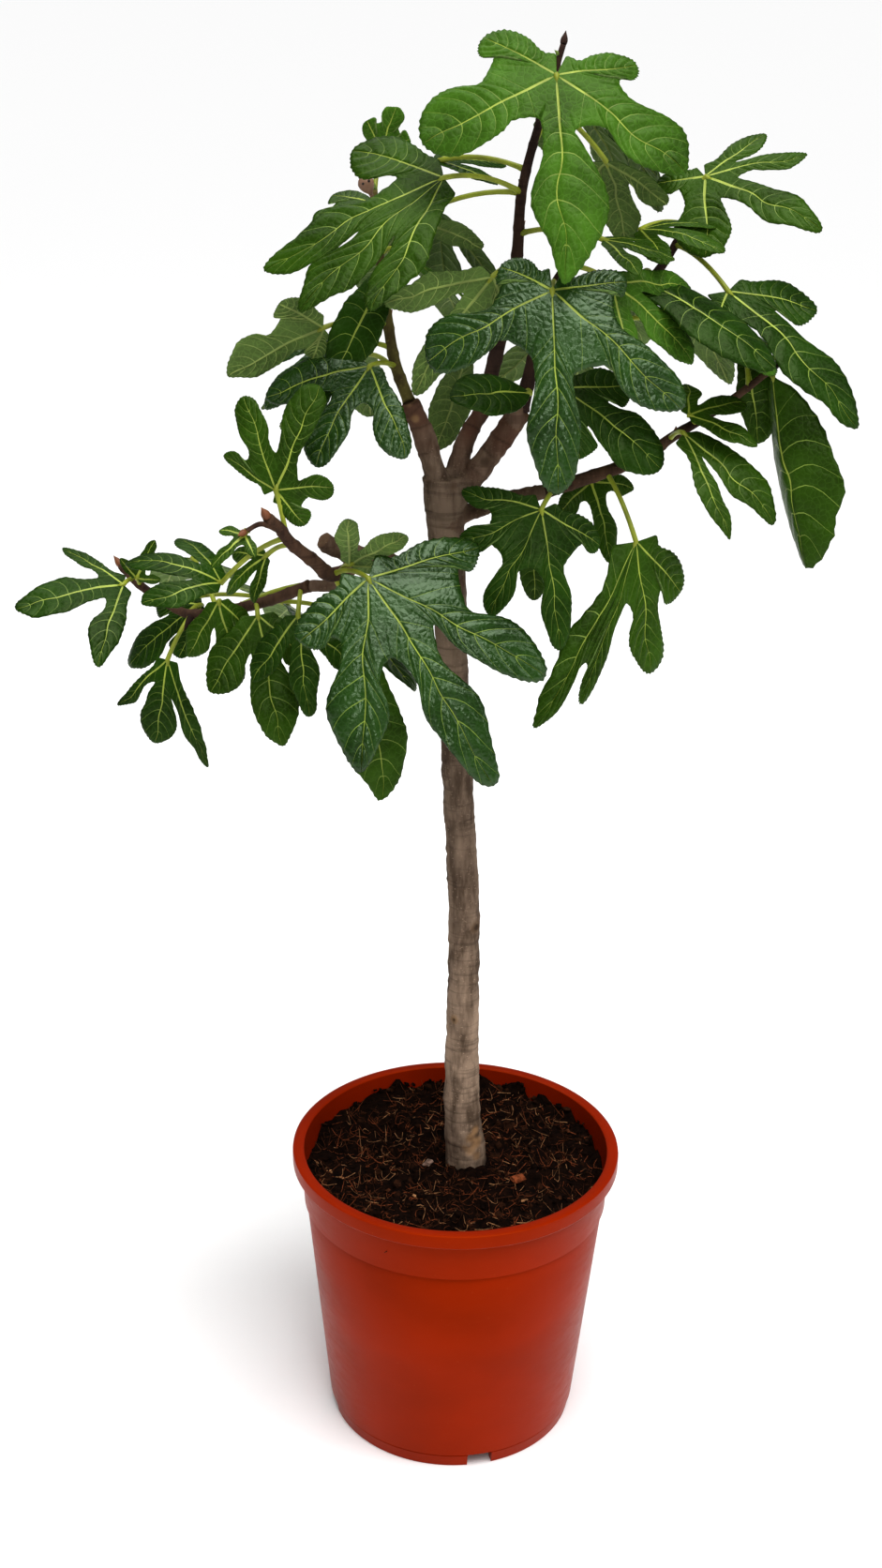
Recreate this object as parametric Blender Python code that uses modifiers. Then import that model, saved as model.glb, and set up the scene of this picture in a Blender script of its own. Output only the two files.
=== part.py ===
"""A young fig tree in a turned plastic pot: pot, compost, trunk, boughs and six masses of leaves.

Metres, +Z up. The origin is the middle of the pot's underside, and -Y is the side the tree is seen from.
"""

import math
import random

import bmesh
import bpy
from mathutils import Matrix, Vector
from mathutils.bvhtree import BVHTree

GAP = 0.0003  # left between solids that touch

# Pot
POT_HEIGHT = 0.2757
RIM_RADIUS = 0.150
RIM_INNER_RADIUS = 0.1392
LIP_HEIGHT = 0.014
LIP_ROUND = 0.0035
WALL = 0.0025
WALL_TOP_RADIUS = 0.1414
WALL_BASE_RADIUS = 0.1149
STEP_BELOW_RIM = 0.052
STEP_DEPTH = 0.0008
FOOT_RADIUS = 0.1116
FOOT_HEIGHT = 0.009
FOOT_INNER_RADIUS = 0.104
FLOOR_UNDERSIDE = 0.006
FLOOR_TOP = 0.009
PAD_RADIUS = 0.022
TURNING_STEPS = 36
SLOT_COUNT = 6
SLOT_WIDTH = 0.022
SLOT_HEIGHT = 0.0055
SLOT_TURN = 6  # degrees from the front to the first slot

# Compost
COMPOST_TOP = 0.2500
COMPOST_EDGE_DROP = 0.003
COMPOST_RISE = 0.002

# Trunk: its centre line, with each point's height above the compost, and its thickness there
TRUNK = (
    ((0.010, 0.006, 0.000), 0.048),
    ((0.009, 0.004, 0.020), 0.038),
    ((0.005, 0.000, 0.070), 0.0325),
    ((0.004, 0.000, 0.180), 0.0282),
    ((0.003, 0.000, 0.270), 0.0272),
    ((-0.004, 0.000, 0.380), 0.0260),
    ((-0.011, 0.000, 0.500), 0.0260),
    ((-0.017, 0.000, 0.600), 0.0305),
    ((-0.021, 0.000, 0.655), 0.0345),
)

# Limbs that leave the trunk: route, thickness at its two ends, and the length that is one with the trunk
BOUGHS = {
    "bough_cut_left": (((-0.023, -0.002, 0.893), (-0.037, -0.004, 0.939), (-0.049, -0.006, 0.966)),
                       0.0190, 0.0165, 0.040),
    "bough_middle": (((-0.016, 0.003, 0.893), (-0.001, 0.008, 0.937), (0.010, 0.012, 0.957)),
                     0.0165, 0.0140, 0.040),
    "bough_cut_right": (((-0.016, -0.003, 0.880), (0.015, -0.003, 0.922), (0.041, -0.003, 0.961)),
                        0.0205, 0.0175, 0.056),
    "bough_right": (((-0.018, 0.000, 0.866), (0.027, 0.005, 0.884), (0.063, 0.010, 0.891)),
                    0.0150, 0.0120, 0.040),
    "bough_left": (((-0.014, 0.000, 0.818), (-0.060, -0.010, 0.832), (-0.104, -0.024, 0.849),
                    (-0.117, -0.031, 0.859)), 0.0215, 0.0150, 0.034),
    "bough_far_left": (((-0.014, 0.006, 0.793), (-0.077, 0.020, 0.804), (-0.132, 0.022, 0.803)),
                       0.0115, 0.0100, 0.034),
}
# A short arm on the left bough, which the near left shoot grows on from
LEFT_ARM = ((-0.085, -0.018, 0.839), (-0.100, -0.033, 0.832))
LEFT_ARM_THICKNESS = 0.0130
TRUNK_PROFILE = 4
BOUGH_PROFILE = 2
SHOOT_PROFILE = 1
STALK_PROFILE = 0

# The limb that each mass grows on from
GROWS_FROM = {"foliage_top": "bough_middle", "foliage_left": "bough_cut_left", "foliage_front": "bough_cut_right",
              "foliage_right": "bough_right", "foliage_near_left": "bough_left",
              "foliage_far_left": "bough_far_left"}
STEM_COLLAR = 0.004  # how far a stem runs straight on from its limb

# Shoots of each mass: route, thickness at its two ends. The first one is the stem that the others leave.
SHOOTS = {
    "foliage_top": {
        "leader": (((0.010, 0.012, 0.957), (0.023, 0.020, 1.014), (0.034, 0.020, 1.072),
                    (0.037, 0.020, 1.127), (0.049, 0.018, 1.180), (0.065, 0.010, 1.238)), 0.0130, 0.0045),
    },
    "foliage_left": {
        "left shoot": (((-0.049, -0.003, 0.966), (-0.061, 0.014, 0.994), (-0.068, 0.030, 1.029),
                        (-0.076, 0.048, 1.085), (-0.080, 0.062, 1.121)), 0.0100, 0.0060),
    },
    "foliage_front": {
        "front shoot": (((0.041, -0.003, 0.961), (0.051, -0.008, 1.012), (0.063, -0.022, 1.064),
                         (0.084, -0.042, 1.095)), 0.0120, 0.0050),
        "back shoot": (((0.050, -0.005, 1.005), (0.104, 0.045, 1.029), (0.151, 0.078, 1.058),
                        (0.175, 0.085, 1.098)), 0.0095, 0.0060),
    },
    "foliage_right": {
        "right shoot": (((0.063, 0.010, 0.891), (0.107, 0.018, 0.904), (0.146, 0.030, 0.916),
                         (0.165, 0.036, 0.930), (0.208, 0.042, 0.957), (0.249, 0.040, 0.991)),
                        0.0120, 0.0050),
    },
    "foliage_near_left": {
        "near shoot": (((-0.100, -0.033, 0.832), (-0.112, -0.043, 0.834), (-0.122, -0.054, 0.847),
                        (-0.140, -0.072, 0.868), (-0.148, -0.084, 0.884), (-0.156, -0.096, 0.895)),
                       0.0125, 0.0080),
        "arched twig": (((-0.146, -0.080, 0.879), (-0.160, -0.100, 0.891), (-0.172, -0.112, 0.888)),
                        0.0050, 0.0035),
    },
    "foliage_far_left": {
        "far shoot": (((-0.132, 0.022, 0.803), (-0.178, 0.045, 0.779), (-0.233, 0.076, 0.759),
                       (-0.255, 0.090, 0.760), (-0.286, 0.108, 0.774), (-0.304, 0.120, 0.788)),
                      0.0100, 0.0070),
    },
}

# Leaf forms: each lobe's angle from the middle one, length and half width as shares of the blade's length.
# A positive angle is to the left of a hanging leaf that shows its upper side.
FORMS = {
    "five": ((-96, 0.46, 0.13), (-47, 0.82, 0.15), (0, 1.00, 0.15), (47, 0.82, 0.15), (96, 0.46, 0.13)),
    "crown": ((-100, 0.39, 0.12), (-50, 0.76, 0.16), (0, 1.00, 0.19), (57, 0.72, 0.18), (119, 0.38, 0.14)),
    "front": ((-98, 0.36, 0.13), (-40, 0.84, 0.17), (0, 1.00, 0.13), (60, 0.70, 0.17), (114, 0.30, 0.14)),
    "low front": ((-87, 0.45, 0.13), (-32, 0.81, 0.13), (0, 1.00, 0.15), (29, 0.86, 0.12), (84, 0.50, 0.13)),
    "deep": ((-49, 0.47, 0.15), (0, 1.00, 0.11), (36, 0.84, 0.10), (77, 0.60, 0.11), (112, 0.58, 0.10)),
    "swept": ((-36, 0.80, 0.11), (-14, 0.98, 0.12), (3, 1.00, 0.11), (56, 0.50, 0.15)),
    "upright": ((-72, 0.61, 0.09), (-38, 0.89, 0.16), (0, 1.00, 0.17), (65, 0.54, 0.16), (121, 0.42, 0.14)),
    "dark": ((-44, 0.98, 0.18), (0, 1.00, 0.19), (49, 0.95, 0.17)),
    "claw": ((-69, 0.61, 0.10), (-42, 0.82, 0.08), (0, 1.00, 0.15), (62, 0.72, 0.22), (150, 0.37, 0.12)),
    "strap": ((-39, 0.50, 0.14), (0, 1.00, 0.14), (70, 0.24, 0.10)),
    "folded": ((-74, 0.40, 0.12), (-38, 0.64, 0.10), (-10, 0.84, 0.08), (0, 1.00, 0.08)),
    "forked": ((0, 1.00, 0.17), (25, 0.92, 0.08)),
    "fan": ((-105, 0.71, 0.18), (-48, 0.96, 0.20), (3, 1.00, 0.18)),
    "hook": ((-46, 0.80, 0.13), (0, 1.00, 0.13), (60, 0.32, 0.11)),
    "cross": ((-60, 0.90, 0.14), (0, 1.00, 0.20), (58, 0.74, 0.08)),
    "tailed": ((-14, 1.25, 0.10), (14, 0.92, 0.20), (52, 0.76, 0.07)),
    "hand": ((-68, 0.58, 0.13), (0, 1.00, 0.15), (65, 0.56, 0.13)),
    "side": ((-38, 0.50, 0.14), (0, 1.00, 0.17), (42, 0.68, 0.16)),
    "three": ((-42, 0.80, 0.15), (0, 1.00, 0.16), (42, 0.80, 0.15)),
    "broad": ((-42, 0.58, 0.17), (0, 1.00, 0.24), (42, 0.60, 0.17)),
    "round": ((0, 1.00, 0.28),),
    "oval": ((0, 1.00, 0.20),),
}
NECK = 0.54  # half width of a lobe's neck as a share of its widest
NECK_AT = 0.22  # how far from its bay to its tip a lobe's neck is
WIDEST_AT = 0.62
NEAR_TIP_AT = 0.93
NEAR_TIP = 0.5  # half width there as a share of the widest
BAY = 1.2  # how far out a bay starts, as a share of where the two necks would cross
BAY_LEAST = 0.24
BAY_MOST = 0.72  # of the shorter lobe beside it
HEEL_TURN = 56  # degrees from an outer lobe to the blade's heel
HEEL_OUT = 0.11
LEAF_THICKNESS = 0.0022
VEIN_START = 0.20
VEIN_SPREAD = 1.2
EDGE_SHARES = (0, 0.5, 0.75)  # where a lobe's edge has its corners, from its bay to its tip
STALK_THICKNESS = 0.0046
STALK_ROOT = 0.006  # length of stalk sunk into the blade
STALK_RISE = 0.16
STALK_TAPER = (1.25, 1.0, 0.9, 1.0, 0.6)

# Leaves: shoot and share of its length, then the stalk's heading, climb and length, then the blade's
# heading, climb and length, its roll, form, droop and fold. A heading of 0 is +X and -90 faces the
# viewer. A roll of 0 turns the upper side as far up as it goes.
LEAVES = {
    "foliage_top": (
        ("leader", 0.89, (-87, 14, 0.045), (-89, -64, 0.160), 0, "crown", 25, 0),
        ("leader", 0.60, (-146, 12, 0.075), (-163, -28, 0.155), -40, "swept", 20, 0),
        ("leader", 0.84, (4, -41, 0.065), (65, -53, 0.090), -5, "side", 30, 0),
        ("leader", 0.49, (-31, 2, 0.075), (-10, -13, 0.057), 15, "three", 20, 10),
        ("leader", 0.40, (-122, -4, 0.035), (-171, -56, 0.110), 80, "hook", 30, 0),
        ("leader", 0.60, (167, -15, 0.090), (28, -24, 0.070), -40, "oval", 20, 0),
        ("leader", 0.28, (147, -48, 0.055), (155, -73, 0.085), 50, "oval", 20, 0),
        ("leader", 0.66, (156, 2, 0.075), (29, -6, 0.062), 20, "three", 20, 0),
    ),
    "foliage_left": (
        ("left shoot", 0.98, (83, 42, 0.046), (0, 70, 0.036), 75, "three", 10, 0),
        ("left shoot", 0.93, (105, 4, 0.015), (-167, -20, 0.051), -25, "three", 20, 0),
        ("left shoot", 0.38, (-158, 1, 0.055), (-165, -29, 0.087), 80, "broad", 20, 0),
        ("left shoot", 0.57, (-79, 36, 0.025), (-145, -59, 0.101), -35, "oval", 20, 0),
        ("left shoot", 0.27, (168, 0, 0.050), (-169, -43, 0.075), -40, "three", 30, 0),
        ("left shoot", 0.18, (-126, 10, 0.035), (-130, -54, 0.089), -25, "dark", 30, 0),
    ),
    "foliage_front": (
        ("front shoot", 0.71, (-94, 6, 0.060), (-81, -71, 0.152), 10, "front", 30, 0),
        ("front shoot", 0.85, (23, -21, 0.040), (0, -42, 0.093), 50, "three", 30, 0),
        ("back shoot", 0.98, (-140, 1, 0.052), (-34, -8, 0.079), 15, "three", 35, 0),
        ("back shoot", 0.72, (-103, 7, 0.072), (-21, -28, 0.127), 25, "oval", 25, 10),
        ("back shoot", 0.98, (0, 71, 0.041), (-24, -19, 0.106), 45, "claw", 20, 0),
        ("back shoot", 0.89, (-49, -26, 0.067), (-21, -41, 0.150), 35, "strap", 30, 0),
        ("front shoot", 0.35, (46, -49, 0.050), (-13, -35, 0.102), 45, "broad", 20, 0),
        ("front shoot", 0.09, (-84, 13, 0.030), (-154, 2, 0.070), -30, "oval", 20, 0),
    ),
    "foliage_right": (
        ("right shoot", 0.05, (-110, -10, 0.045), (-50, -72, 0.113), 30, "deep", 30, 0),
        ("right shoot", 0.24, (-56, -48, 0.065), (-146, -59, 0.174), -65, "folded", 20, 15),
        ("right shoot", 0.21, (99, -26, 0.030), (-26, -72, 0.072), 40, "hand", 30, 0),
        ("right shoot", 0.04, (129, -56, 0.045), (0, -88, 0.065), 90, "oval", 20, 0),
        ("right shoot", 0.52, (-77, 21, 0.035), (-22, -39, 0.104), 35, "forked", 25, 0),
        ("right shoot", 0.63, (-105, 22, 0.040), (-10, -19, 0.060), 30, "fan", 20, 0),
        ("right shoot", 0.87, (103, 61, 0.036), (-30, -76, 0.082), 60, "round", 15, 0),
        ("right shoot", 0.98, (-97, -11, 0.015), (-41, -73, 0.158), 95, "round", 15, 35),
    ),
    "foliage_near_left": (
        ("near shoot", 0.10, (-59, 12, 0.060), (-38, -58, 0.181), 40, "low front", 30, 0),
        ("near shoot", 0.05, (-67, 30, 0.030), (-41, 31, 0.072), -50, "three", 15, 0),
        ("near shoot", 0.70, (180, 78, 0.039), (37, 68, 0.087), 50, "upright", 20, 0),
        ("near shoot", 0.70, (151, -37, 0.079), (166, 6, 0.083), -25, "three", 60, 0),
        ("near shoot", 0.58, (125, -23, 0.049), (164, -45, 0.049), -55, "three", 30, 0),
        ("near shoot", 0.10, (1, -71, 0.070), (-44, -77, 0.125), 40, "oval", 20, 0),
        ("arched twig", 0.95, (180, -60, 0.004), (-147, -37, 0.037), -30, "hand", 25, 0),
    ),
    "foliage_far_left": (
        ("far shoot", 0.04, (-91, -21, 0.035), (-72, -68, 0.083), 15, "three", 30, 0),
        ("far shoot", 0.27, (-82, -4, 0.025), (-61, -66, 0.113), 20, "side", 25, 0),
        ("far shoot", 0.44, (-89, 28, 0.046), (-20, -79, 0.077), 55, "side", 35, 15),
        ("far shoot", 0.62, (69, 0, 0.026), (180, -41, 0.088), -35, "broad", 30, 0),
        ("far shoot", 0.60, (-127, -46, 0.047), (-54, -81, 0.082), 40, "tailed", 30, 0),
        ("far shoot", 0.88, (-95, 39, 0.016), (0, 64, 0.039), 80, "hand", 30, 0),
        ("far shoot", 0.92, (-107, 3, 0.021), (-161, -9, 0.097), -30, "cross", 25, 0),
    ),
}

# A small fig: its shoot and share, its stalk's heading and climb, and its length and greatest radius
FIG_SHOOT = "left shoot"
FIG_SHARE = 0.95
FIG_WAY = (-120, 50)
FIG_LENGTH = 0.016
FIG_RADIUS = 0.0065
FIG_STALK = 0.010
FIG_PROFILE = ((0.00, 0.30), (0.35, 0.80), (0.65, 1.00), (0.90, 0.70), (1.00, 0.30))

# Leaves that the back and sides need, grown by rule
SEED = 11
FILL_TRIES = 150
FILL_LEAVES = {"foliage_top": 8, "foliage_left": 6, "foliage_front": 5, "foliage_right": 5,
               "foliage_near_left": 3, "foliage_far_left": 4}
FILL_FORMS = ("five", "three", "side")
SPIRAL = 137.5
REACH_LOW = Vector((-0.385, -0.25, 0.62))
REACH_HIGH = Vector((0.318, 0.26, 1.225))
VIEWER = Vector((-0.019, -1.725, 1.356))
MOST_IN_VIEW = 0.12  # share of a rule-grown leaf that may show in the gaps seen from the front

SHARP_EDGE = 35  # degrees, above which an edge is not shaded smooth

# Colours as linear red, green and blue, then roughness
FINISHES = {
    "terracotta plastic": ((0.42, 0.055, 0.018), 0.42),
    "compost": ((0.022, 0.010, 0.006), 0.95),
    "bark": ((0.16, 0.115, 0.08), 0.85),
    "fig leaf": ((0.035, 0.13, 0.02), 0.45),
}


def finish(name):
    """A plain material by its name in FINISHES."""
    if name in bpy.data.materials:
        return bpy.data.materials[name]
    colour, roughness = FINISHES[name]
    material = bpy.data.materials.new(name)
    material.use_nodes = True
    shader = material.node_tree.nodes["Principled BSDF"]
    shader.inputs["Base Color"].default_value = (*colour, 1)
    shader.inputs["Roughness"].default_value = roughness
    material.diffuse_color = (*colour, 1)
    return material


def new_object(name, mesh, collection, finish_name=None):
    """An object for the mesh, in the collection, with its finish."""
    obj = bpy.data.objects.new(name, mesh)
    collection.objects.link(obj)
    if finish_name:
        mesh.materials.clear()
        mesh.materials.append(finish(finish_name))
    return obj


def bearing(heading, climb):
    """The unit vector with this heading and climb in degrees."""
    turn, lift = math.radians(heading), math.radians(climb)
    return Vector((math.cos(turn) * math.cos(lift), math.sin(turn) * math.cos(lift), math.sin(lift)))


def between(before, start, end, after, t):
    """The point at the share t of a smooth curve's stretch from start to end."""
    slope = (end - before) * t
    bend = (2 * before - 5 * start + 4 * end - after) * t * t
    twist = (3 * start - before - 3 * end + after) * t ** 3
    return start + (slope + bend + twist) / 2


def through(points, steps):
    """Points along a smooth curve through the given ones, with this many steps between neighbours."""
    ends = [2 * points[0] - points[1], *points, 2 * points[-1] - points[-2]]
    line = []
    for four in zip(ends, ends[1:], ends[2:], ends[3:]):
        line += [between(*four, step / steps) for step in range(steps)]
    return [*line, points[-1].copy()]


class Route:
    """A smooth line with a thickness that tapers evenly between its ends."""

    def __init__(self, points, thick_start, thick_end, steps=2):
        self.points = through([Vector(point) for point in points], steps)
        self.thick_start, self.thick_end = thick_start, thick_end
        self.marks = [0.0]
        for a, b in zip(self.points, self.points[1:]):
            self.marks.append(self.marks[-1] + (b - a).length)
        self.length = self.marks[-1]

    def at(self, distance):
        """The point this far along."""
        distance = min(max(distance, 0.0), self.length)
        for a, b, low, high in zip(self.points, self.points[1:], self.marks, self.marks[1:]):
            if distance <= high:
                return a.lerp(b, (distance - low) / (high - low))
        return self.points[-1].copy()

    def direction(self, distance):
        """The way the line runs at this distance."""
        step = 0.002
        return (self.at(distance + step) - self.at(distance - step)).normalized()

    def thickness(self, distance):
        return self.thick_start + (self.thick_end - self.thick_start) * distance / self.length

    def stretch(self, low, high):
        """(points, thicknesses) of the part between two distances."""
        inside = [mark for mark in self.marks if low + 0.002 < mark < high - 0.002]
        stops = [low, *inside, high]
        return [self.at(stop) for stop in stops], [self.thickness(stop) for stop in stops]


def tube_mesh(name, points, thicknesses, profile):
    """A closed round tube through the points, as a mesh."""
    curve = bpy.data.curves.new(name, "CURVE")
    curve.dimensions = "3D"
    curve.bevel_depth = 1.0
    curve.bevel_resolution = profile
    curve.use_fill_caps = True
    spline = curve.splines.new("POLY")
    spline.points.add(len(points) - 1)
    for spot, point, thickness in zip(spline.points, points, thicknesses):
        spot.co = (*point, 1)
        spot.radius = thickness / 2
    holder = bpy.data.objects.new(name, curve)
    bpy.context.scene.collection.objects.link(holder)
    bpy.context.view_layer.update()
    mesh = bpy.data.meshes.new_from_object(holder.evaluated_get(bpy.context.evaluated_depsgraph_get()))
    bpy.data.objects.remove(holder)
    bpy.data.curves.remove(curve)
    form = bmesh.new()
    form.from_mesh(mesh)
    bmesh.ops.remove_doubles(form, verts=form.verts, dist=0.00002)
    bmesh.ops.recalc_face_normals(form, faces=form.faces)
    form.to_mesh(mesh)
    form.free()
    mesh.name = name
    return mesh


def joined(name, meshes, solver="EXACT"):
    """One closed mesh made of all these: a union, with loose scraps and sealed hollows dropped."""
    tools = bpy.data.collections.new(name + " tools")
    bpy.context.scene.collection.children.link(tools)
    base = bpy.data.objects.new(name, meshes[0])
    bpy.context.scene.collection.objects.link(base)
    for mesh in meshes[1:]:
        tools.objects.link(bpy.data.objects.new(mesh.name, mesh))
    if tools.objects:
        union = base.modifiers.new("union", "BOOLEAN")
        union.operation = "UNION"
        union.operand_type = "COLLECTION"
        union.collection = tools
        union.solver = solver
    bpy.context.view_layer.update()
    mesh = bpy.data.meshes.new_from_object(base.evaluated_get(bpy.context.evaluated_depsgraph_get()))
    for obj in [base, *tools.objects]:
        bpy.data.objects.remove(obj)
    bpy.data.collections.remove(tools)
    keep_largest_body(mesh)
    mesh.name = name
    return mesh


def keep_largest_body(mesh):
    """Leaves only the mesh's largest connected body, triangulated and without slivers."""
    form = bmesh.new()
    form.from_mesh(mesh)
    bmesh.ops.triangulate(form, faces=form.faces)
    bmesh.ops.remove_doubles(form, verts=form.verts, dist=0.00002)
    bmesh.ops.dissolve_degenerate(form, edges=form.edges, dist=0.00001)
    bodies, seen = [], set()
    for start in form.verts:
        if start in seen:
            continue
        body, waiting = {start}, [start]
        while waiting:
            for edge in waiting.pop().link_edges:
                for vert in edge.verts:
                    if vert not in body:
                        body.add(vert)
                        waiting.append(vert)
        seen |= body
        bodies.append(body)
    bodies.sort(key=len)
    for body in bodies[:-1]:
        bmesh.ops.delete(form, geom=list(body), context="VERTS")
    form.to_mesh(mesh)
    form.free()


def turned(name, profile, collection, finish_name):
    """A body turned round Z from its profile of (radius, height), which runs down its outer side."""
    mesh = bpy.data.meshes.new(name)
    form = bmesh.new()
    spots = [form.verts.new((radius, 0, height)) for radius, height in profile]
    for a, b in zip(spots, spots[1:]):
        form.edges.new((a, b))
    form.to_mesh(mesh)
    form.free()
    obj = new_object(name, mesh, collection, finish_name)
    screw = obj.modifiers.new("turning", "SCREW")
    screw.steps = screw.render_steps = TURNING_STEPS
    screw.use_merge_vertices = True
    screw.merge_threshold = 0.00005
    return obj


def smooth(obj):
    """Shades the rounded faces smooth and leaves edges sharper than SHARP_EDGE as they are."""
    obj.data.shade_smooth()
    obj.data.set_sharp_from_angle(angle=math.radians(SHARP_EDGE))


def wall_radius(height):
    """Radius of the pot's outer wall at a height, without its step."""
    share = height / (POT_HEIGHT - LIP_HEIGHT)
    return WALL_BASE_RADIUS + (WALL_TOP_RADIUS - WALL_BASE_RADIUS) * share


def make_pot(collection, helpers):
    lip_bottom = POT_HEIGHT - LIP_HEIGHT
    step_height = POT_HEIGHT - STEP_BELOW_RIM
    profile = [
        (0, FLOOR_TOP),
        (wall_radius(FLOOR_TOP) - WALL - 0.003, FLOOR_TOP),
        (wall_radius(FLOOR_TOP + 0.004) - WALL, FLOOR_TOP + 0.004),
        (RIM_INNER_RADIUS - 0.0006, lip_bottom),
        (RIM_INNER_RADIUS, POT_HEIGHT - LIP_ROUND),
        (RIM_INNER_RADIUS + 0.3 * LIP_ROUND, POT_HEIGHT - 0.3 * LIP_ROUND),
        (RIM_INNER_RADIUS + LIP_ROUND, POT_HEIGHT),
        (RIM_RADIUS - LIP_ROUND, POT_HEIGHT),
        (RIM_RADIUS - 0.3 * LIP_ROUND, POT_HEIGHT - 0.3 * LIP_ROUND),
        (RIM_RADIUS, POT_HEIGHT - LIP_ROUND),
        (RIM_RADIUS - 0.0006, lip_bottom + 0.4 * LIP_ROUND),
        (RIM_RADIUS - 0.002, lip_bottom),
        (WALL_TOP_RADIUS, lip_bottom),
        (wall_radius(step_height) + STEP_DEPTH, step_height),
        (wall_radius(step_height - 0.002), step_height - 0.002),
        (WALL_BASE_RADIUS, FOOT_HEIGHT),
        (FOOT_RADIUS + 0.0008, FOOT_HEIGHT - 0.0012),
        (FOOT_RADIUS, 0),
        (FOOT_INNER_RADIUS, 0),
        (FOOT_INNER_RADIUS - 0.001, FLOOR_UNDERSIDE),
        (PAD_RADIUS + 0.004, FLOOR_UNDERSIDE),
        (PAD_RADIUS, 0),
        (0, 0),
    ]
    pot = turned("pot", profile, collection, "terracotta plastic")
    slots = bpy.data.meshes.new("foot slots")
    form = bmesh.new()
    for index in range(SLOT_COUNT):
        turn = math.radians(-90 + SLOT_TURN + 360 / SLOT_COUNT * index)
        box = bmesh.ops.create_cube(form, size=1)["verts"]
        bmesh.ops.scale(form, vec=(0.020, SLOT_WIDTH, 2 * SLOT_HEIGHT), verts=box)
        bmesh.ops.translate(form, vec=(0.5 * (FOOT_RADIUS + FOOT_INNER_RADIUS), 0, 0), verts=box)
        bmesh.ops.rotate(form, cent=(0, 0, 0), matrix=Matrix.Rotation(turn, 3, "Z"), verts=box)
    form.to_mesh(slots)
    form.free()
    cutter = new_object("foot slots", slots, helpers)
    cutter.hide_render = True
    cutter.display_type = "WIRE"
    cut = pot.modifiers.new("slots", "BOOLEAN")
    cut.operation = "DIFFERENCE"
    cut.object = cutter
    return pot


def make_compost(collection):
    floor = FLOOR_TOP + GAP
    low = FLOOR_TOP + 0.006
    inner = wall_radius(low) - WALL - GAP - 0.0008
    edge_height = COMPOST_TOP - COMPOST_EDGE_DROP
    edge = RIM_INNER_RADIUS - 0.0006 - GAP - 0.0030
    profile = [
        (0, COMPOST_TOP),
        (0.040, COMPOST_TOP),
        (0.085, COMPOST_TOP + COMPOST_RISE),
        (edge, edge_height),
        (inner, low),
        (inner - 0.004, floor),
        (0, floor),
    ]
    return turned("compost", profile, collection, "compost")


def limb_end(name):
    """The last two points of the limb that a stem grows on from."""
    if name == "bough_left":
        return [Vector(point) for point in LEFT_ARM]
    points, thick_start, thick_end, _ = BOUGHS[name]
    return Route(points, thick_start, thick_end).points[-2:]


def stem_line(route, limb):
    """(points, thicknesses) of a stem that leaves its limb straight on, with a gap."""
    before, end = limb_end(limb)
    way = (end - before).normalized()
    points, widths = route.stretch(3 * STEM_COLLAR, route.length)
    collar = [end + way * GAP, end + way * STEM_COLLAR]
    return [*collar, *points], [route.thick_start, route.thick_start, *widths]


def make_limbs(collection):
    """The trunk with its collars and the boughs that go on from them."""
    points = [Vector(point) + Vector((0, 0, COMPOST_TOP + GAP)) for point, _ in TRUNK]
    line = through(points, 2)
    widths = [width for _, width in TRUNK]
    taper = []
    for a, b in zip(widths, widths[1:]):
        taper += [a, (a + b) / 2]
    taper.append(widths[-1])
    line[1].x, line[1].y = line[0].x, line[0].y  # the first stretch is upright, so that the cut is level
    pieces = [tube_mesh("trunk", line, taper, TRUNK_PROFILE)]
    boughs = []
    for name, (points, thick_start, thick_end, collar) in BOUGHS.items():
        route = Route(points, thick_start, thick_end)
        pieces.append(tube_mesh(name + " collar", *route.stretch(0, collar), BOUGH_PROFILE))
        parts = [tube_mesh(name, *route.stretch(collar + GAP, route.length), BOUGH_PROFILE)]
        if name == "bough_left":
            arm = Route(LEFT_ARM, LEFT_ARM_THICKNESS, LEFT_ARM_THICKNESS)
            parts.append(tube_mesh("arm", *arm.stretch(0, arm.length), BOUGH_PROFILE))
        boughs.append(new_object(name, joined(name, parts), collection, "bark"))
    trunk = new_object("trunk", joined("trunk", pieces), collection, "bark")
    for limb in (trunk, *boughs):
        smooth(limb)
    return [trunk, *boughs]


def clock(turn):
    """The flat unit vector at this angle in degrees from the middle lobe."""
    return Vector((math.sin(math.radians(turn)), math.cos(math.radians(turn))))


def margin_points(lobe, bay, side):
    """The turning points of a lobe's edge on one side, from the bay beside it out to its tip."""
    angle, length, half = lobe
    out = clock(angle)
    across = side * clock(angle + 90)
    start = max(bay.dot(out), 0)
    turns = [bay]
    for place, width in ((NECK_AT, NECK), (WIDEST_AT, 1), (NEAR_TIP_AT, NEAR_TIP)):
        turns.append(out * (start + place * (length - start)) + across * half * width)
    return [*turns, out * length]


def bay_between(left, right):
    """Where the bay between two neighbouring lobes starts."""
    half_turn = math.radians(right[0] - left[0]) / 2
    crossing = (left[2] + right[2]) / 2 * NECK / math.sin(half_turn)
    out = min(max(BAY_LEAST, BAY * crossing), BAY_MOST * min(left[1], right[1]))
    return clock((left[0] + right[0]) / 2) * out


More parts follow.
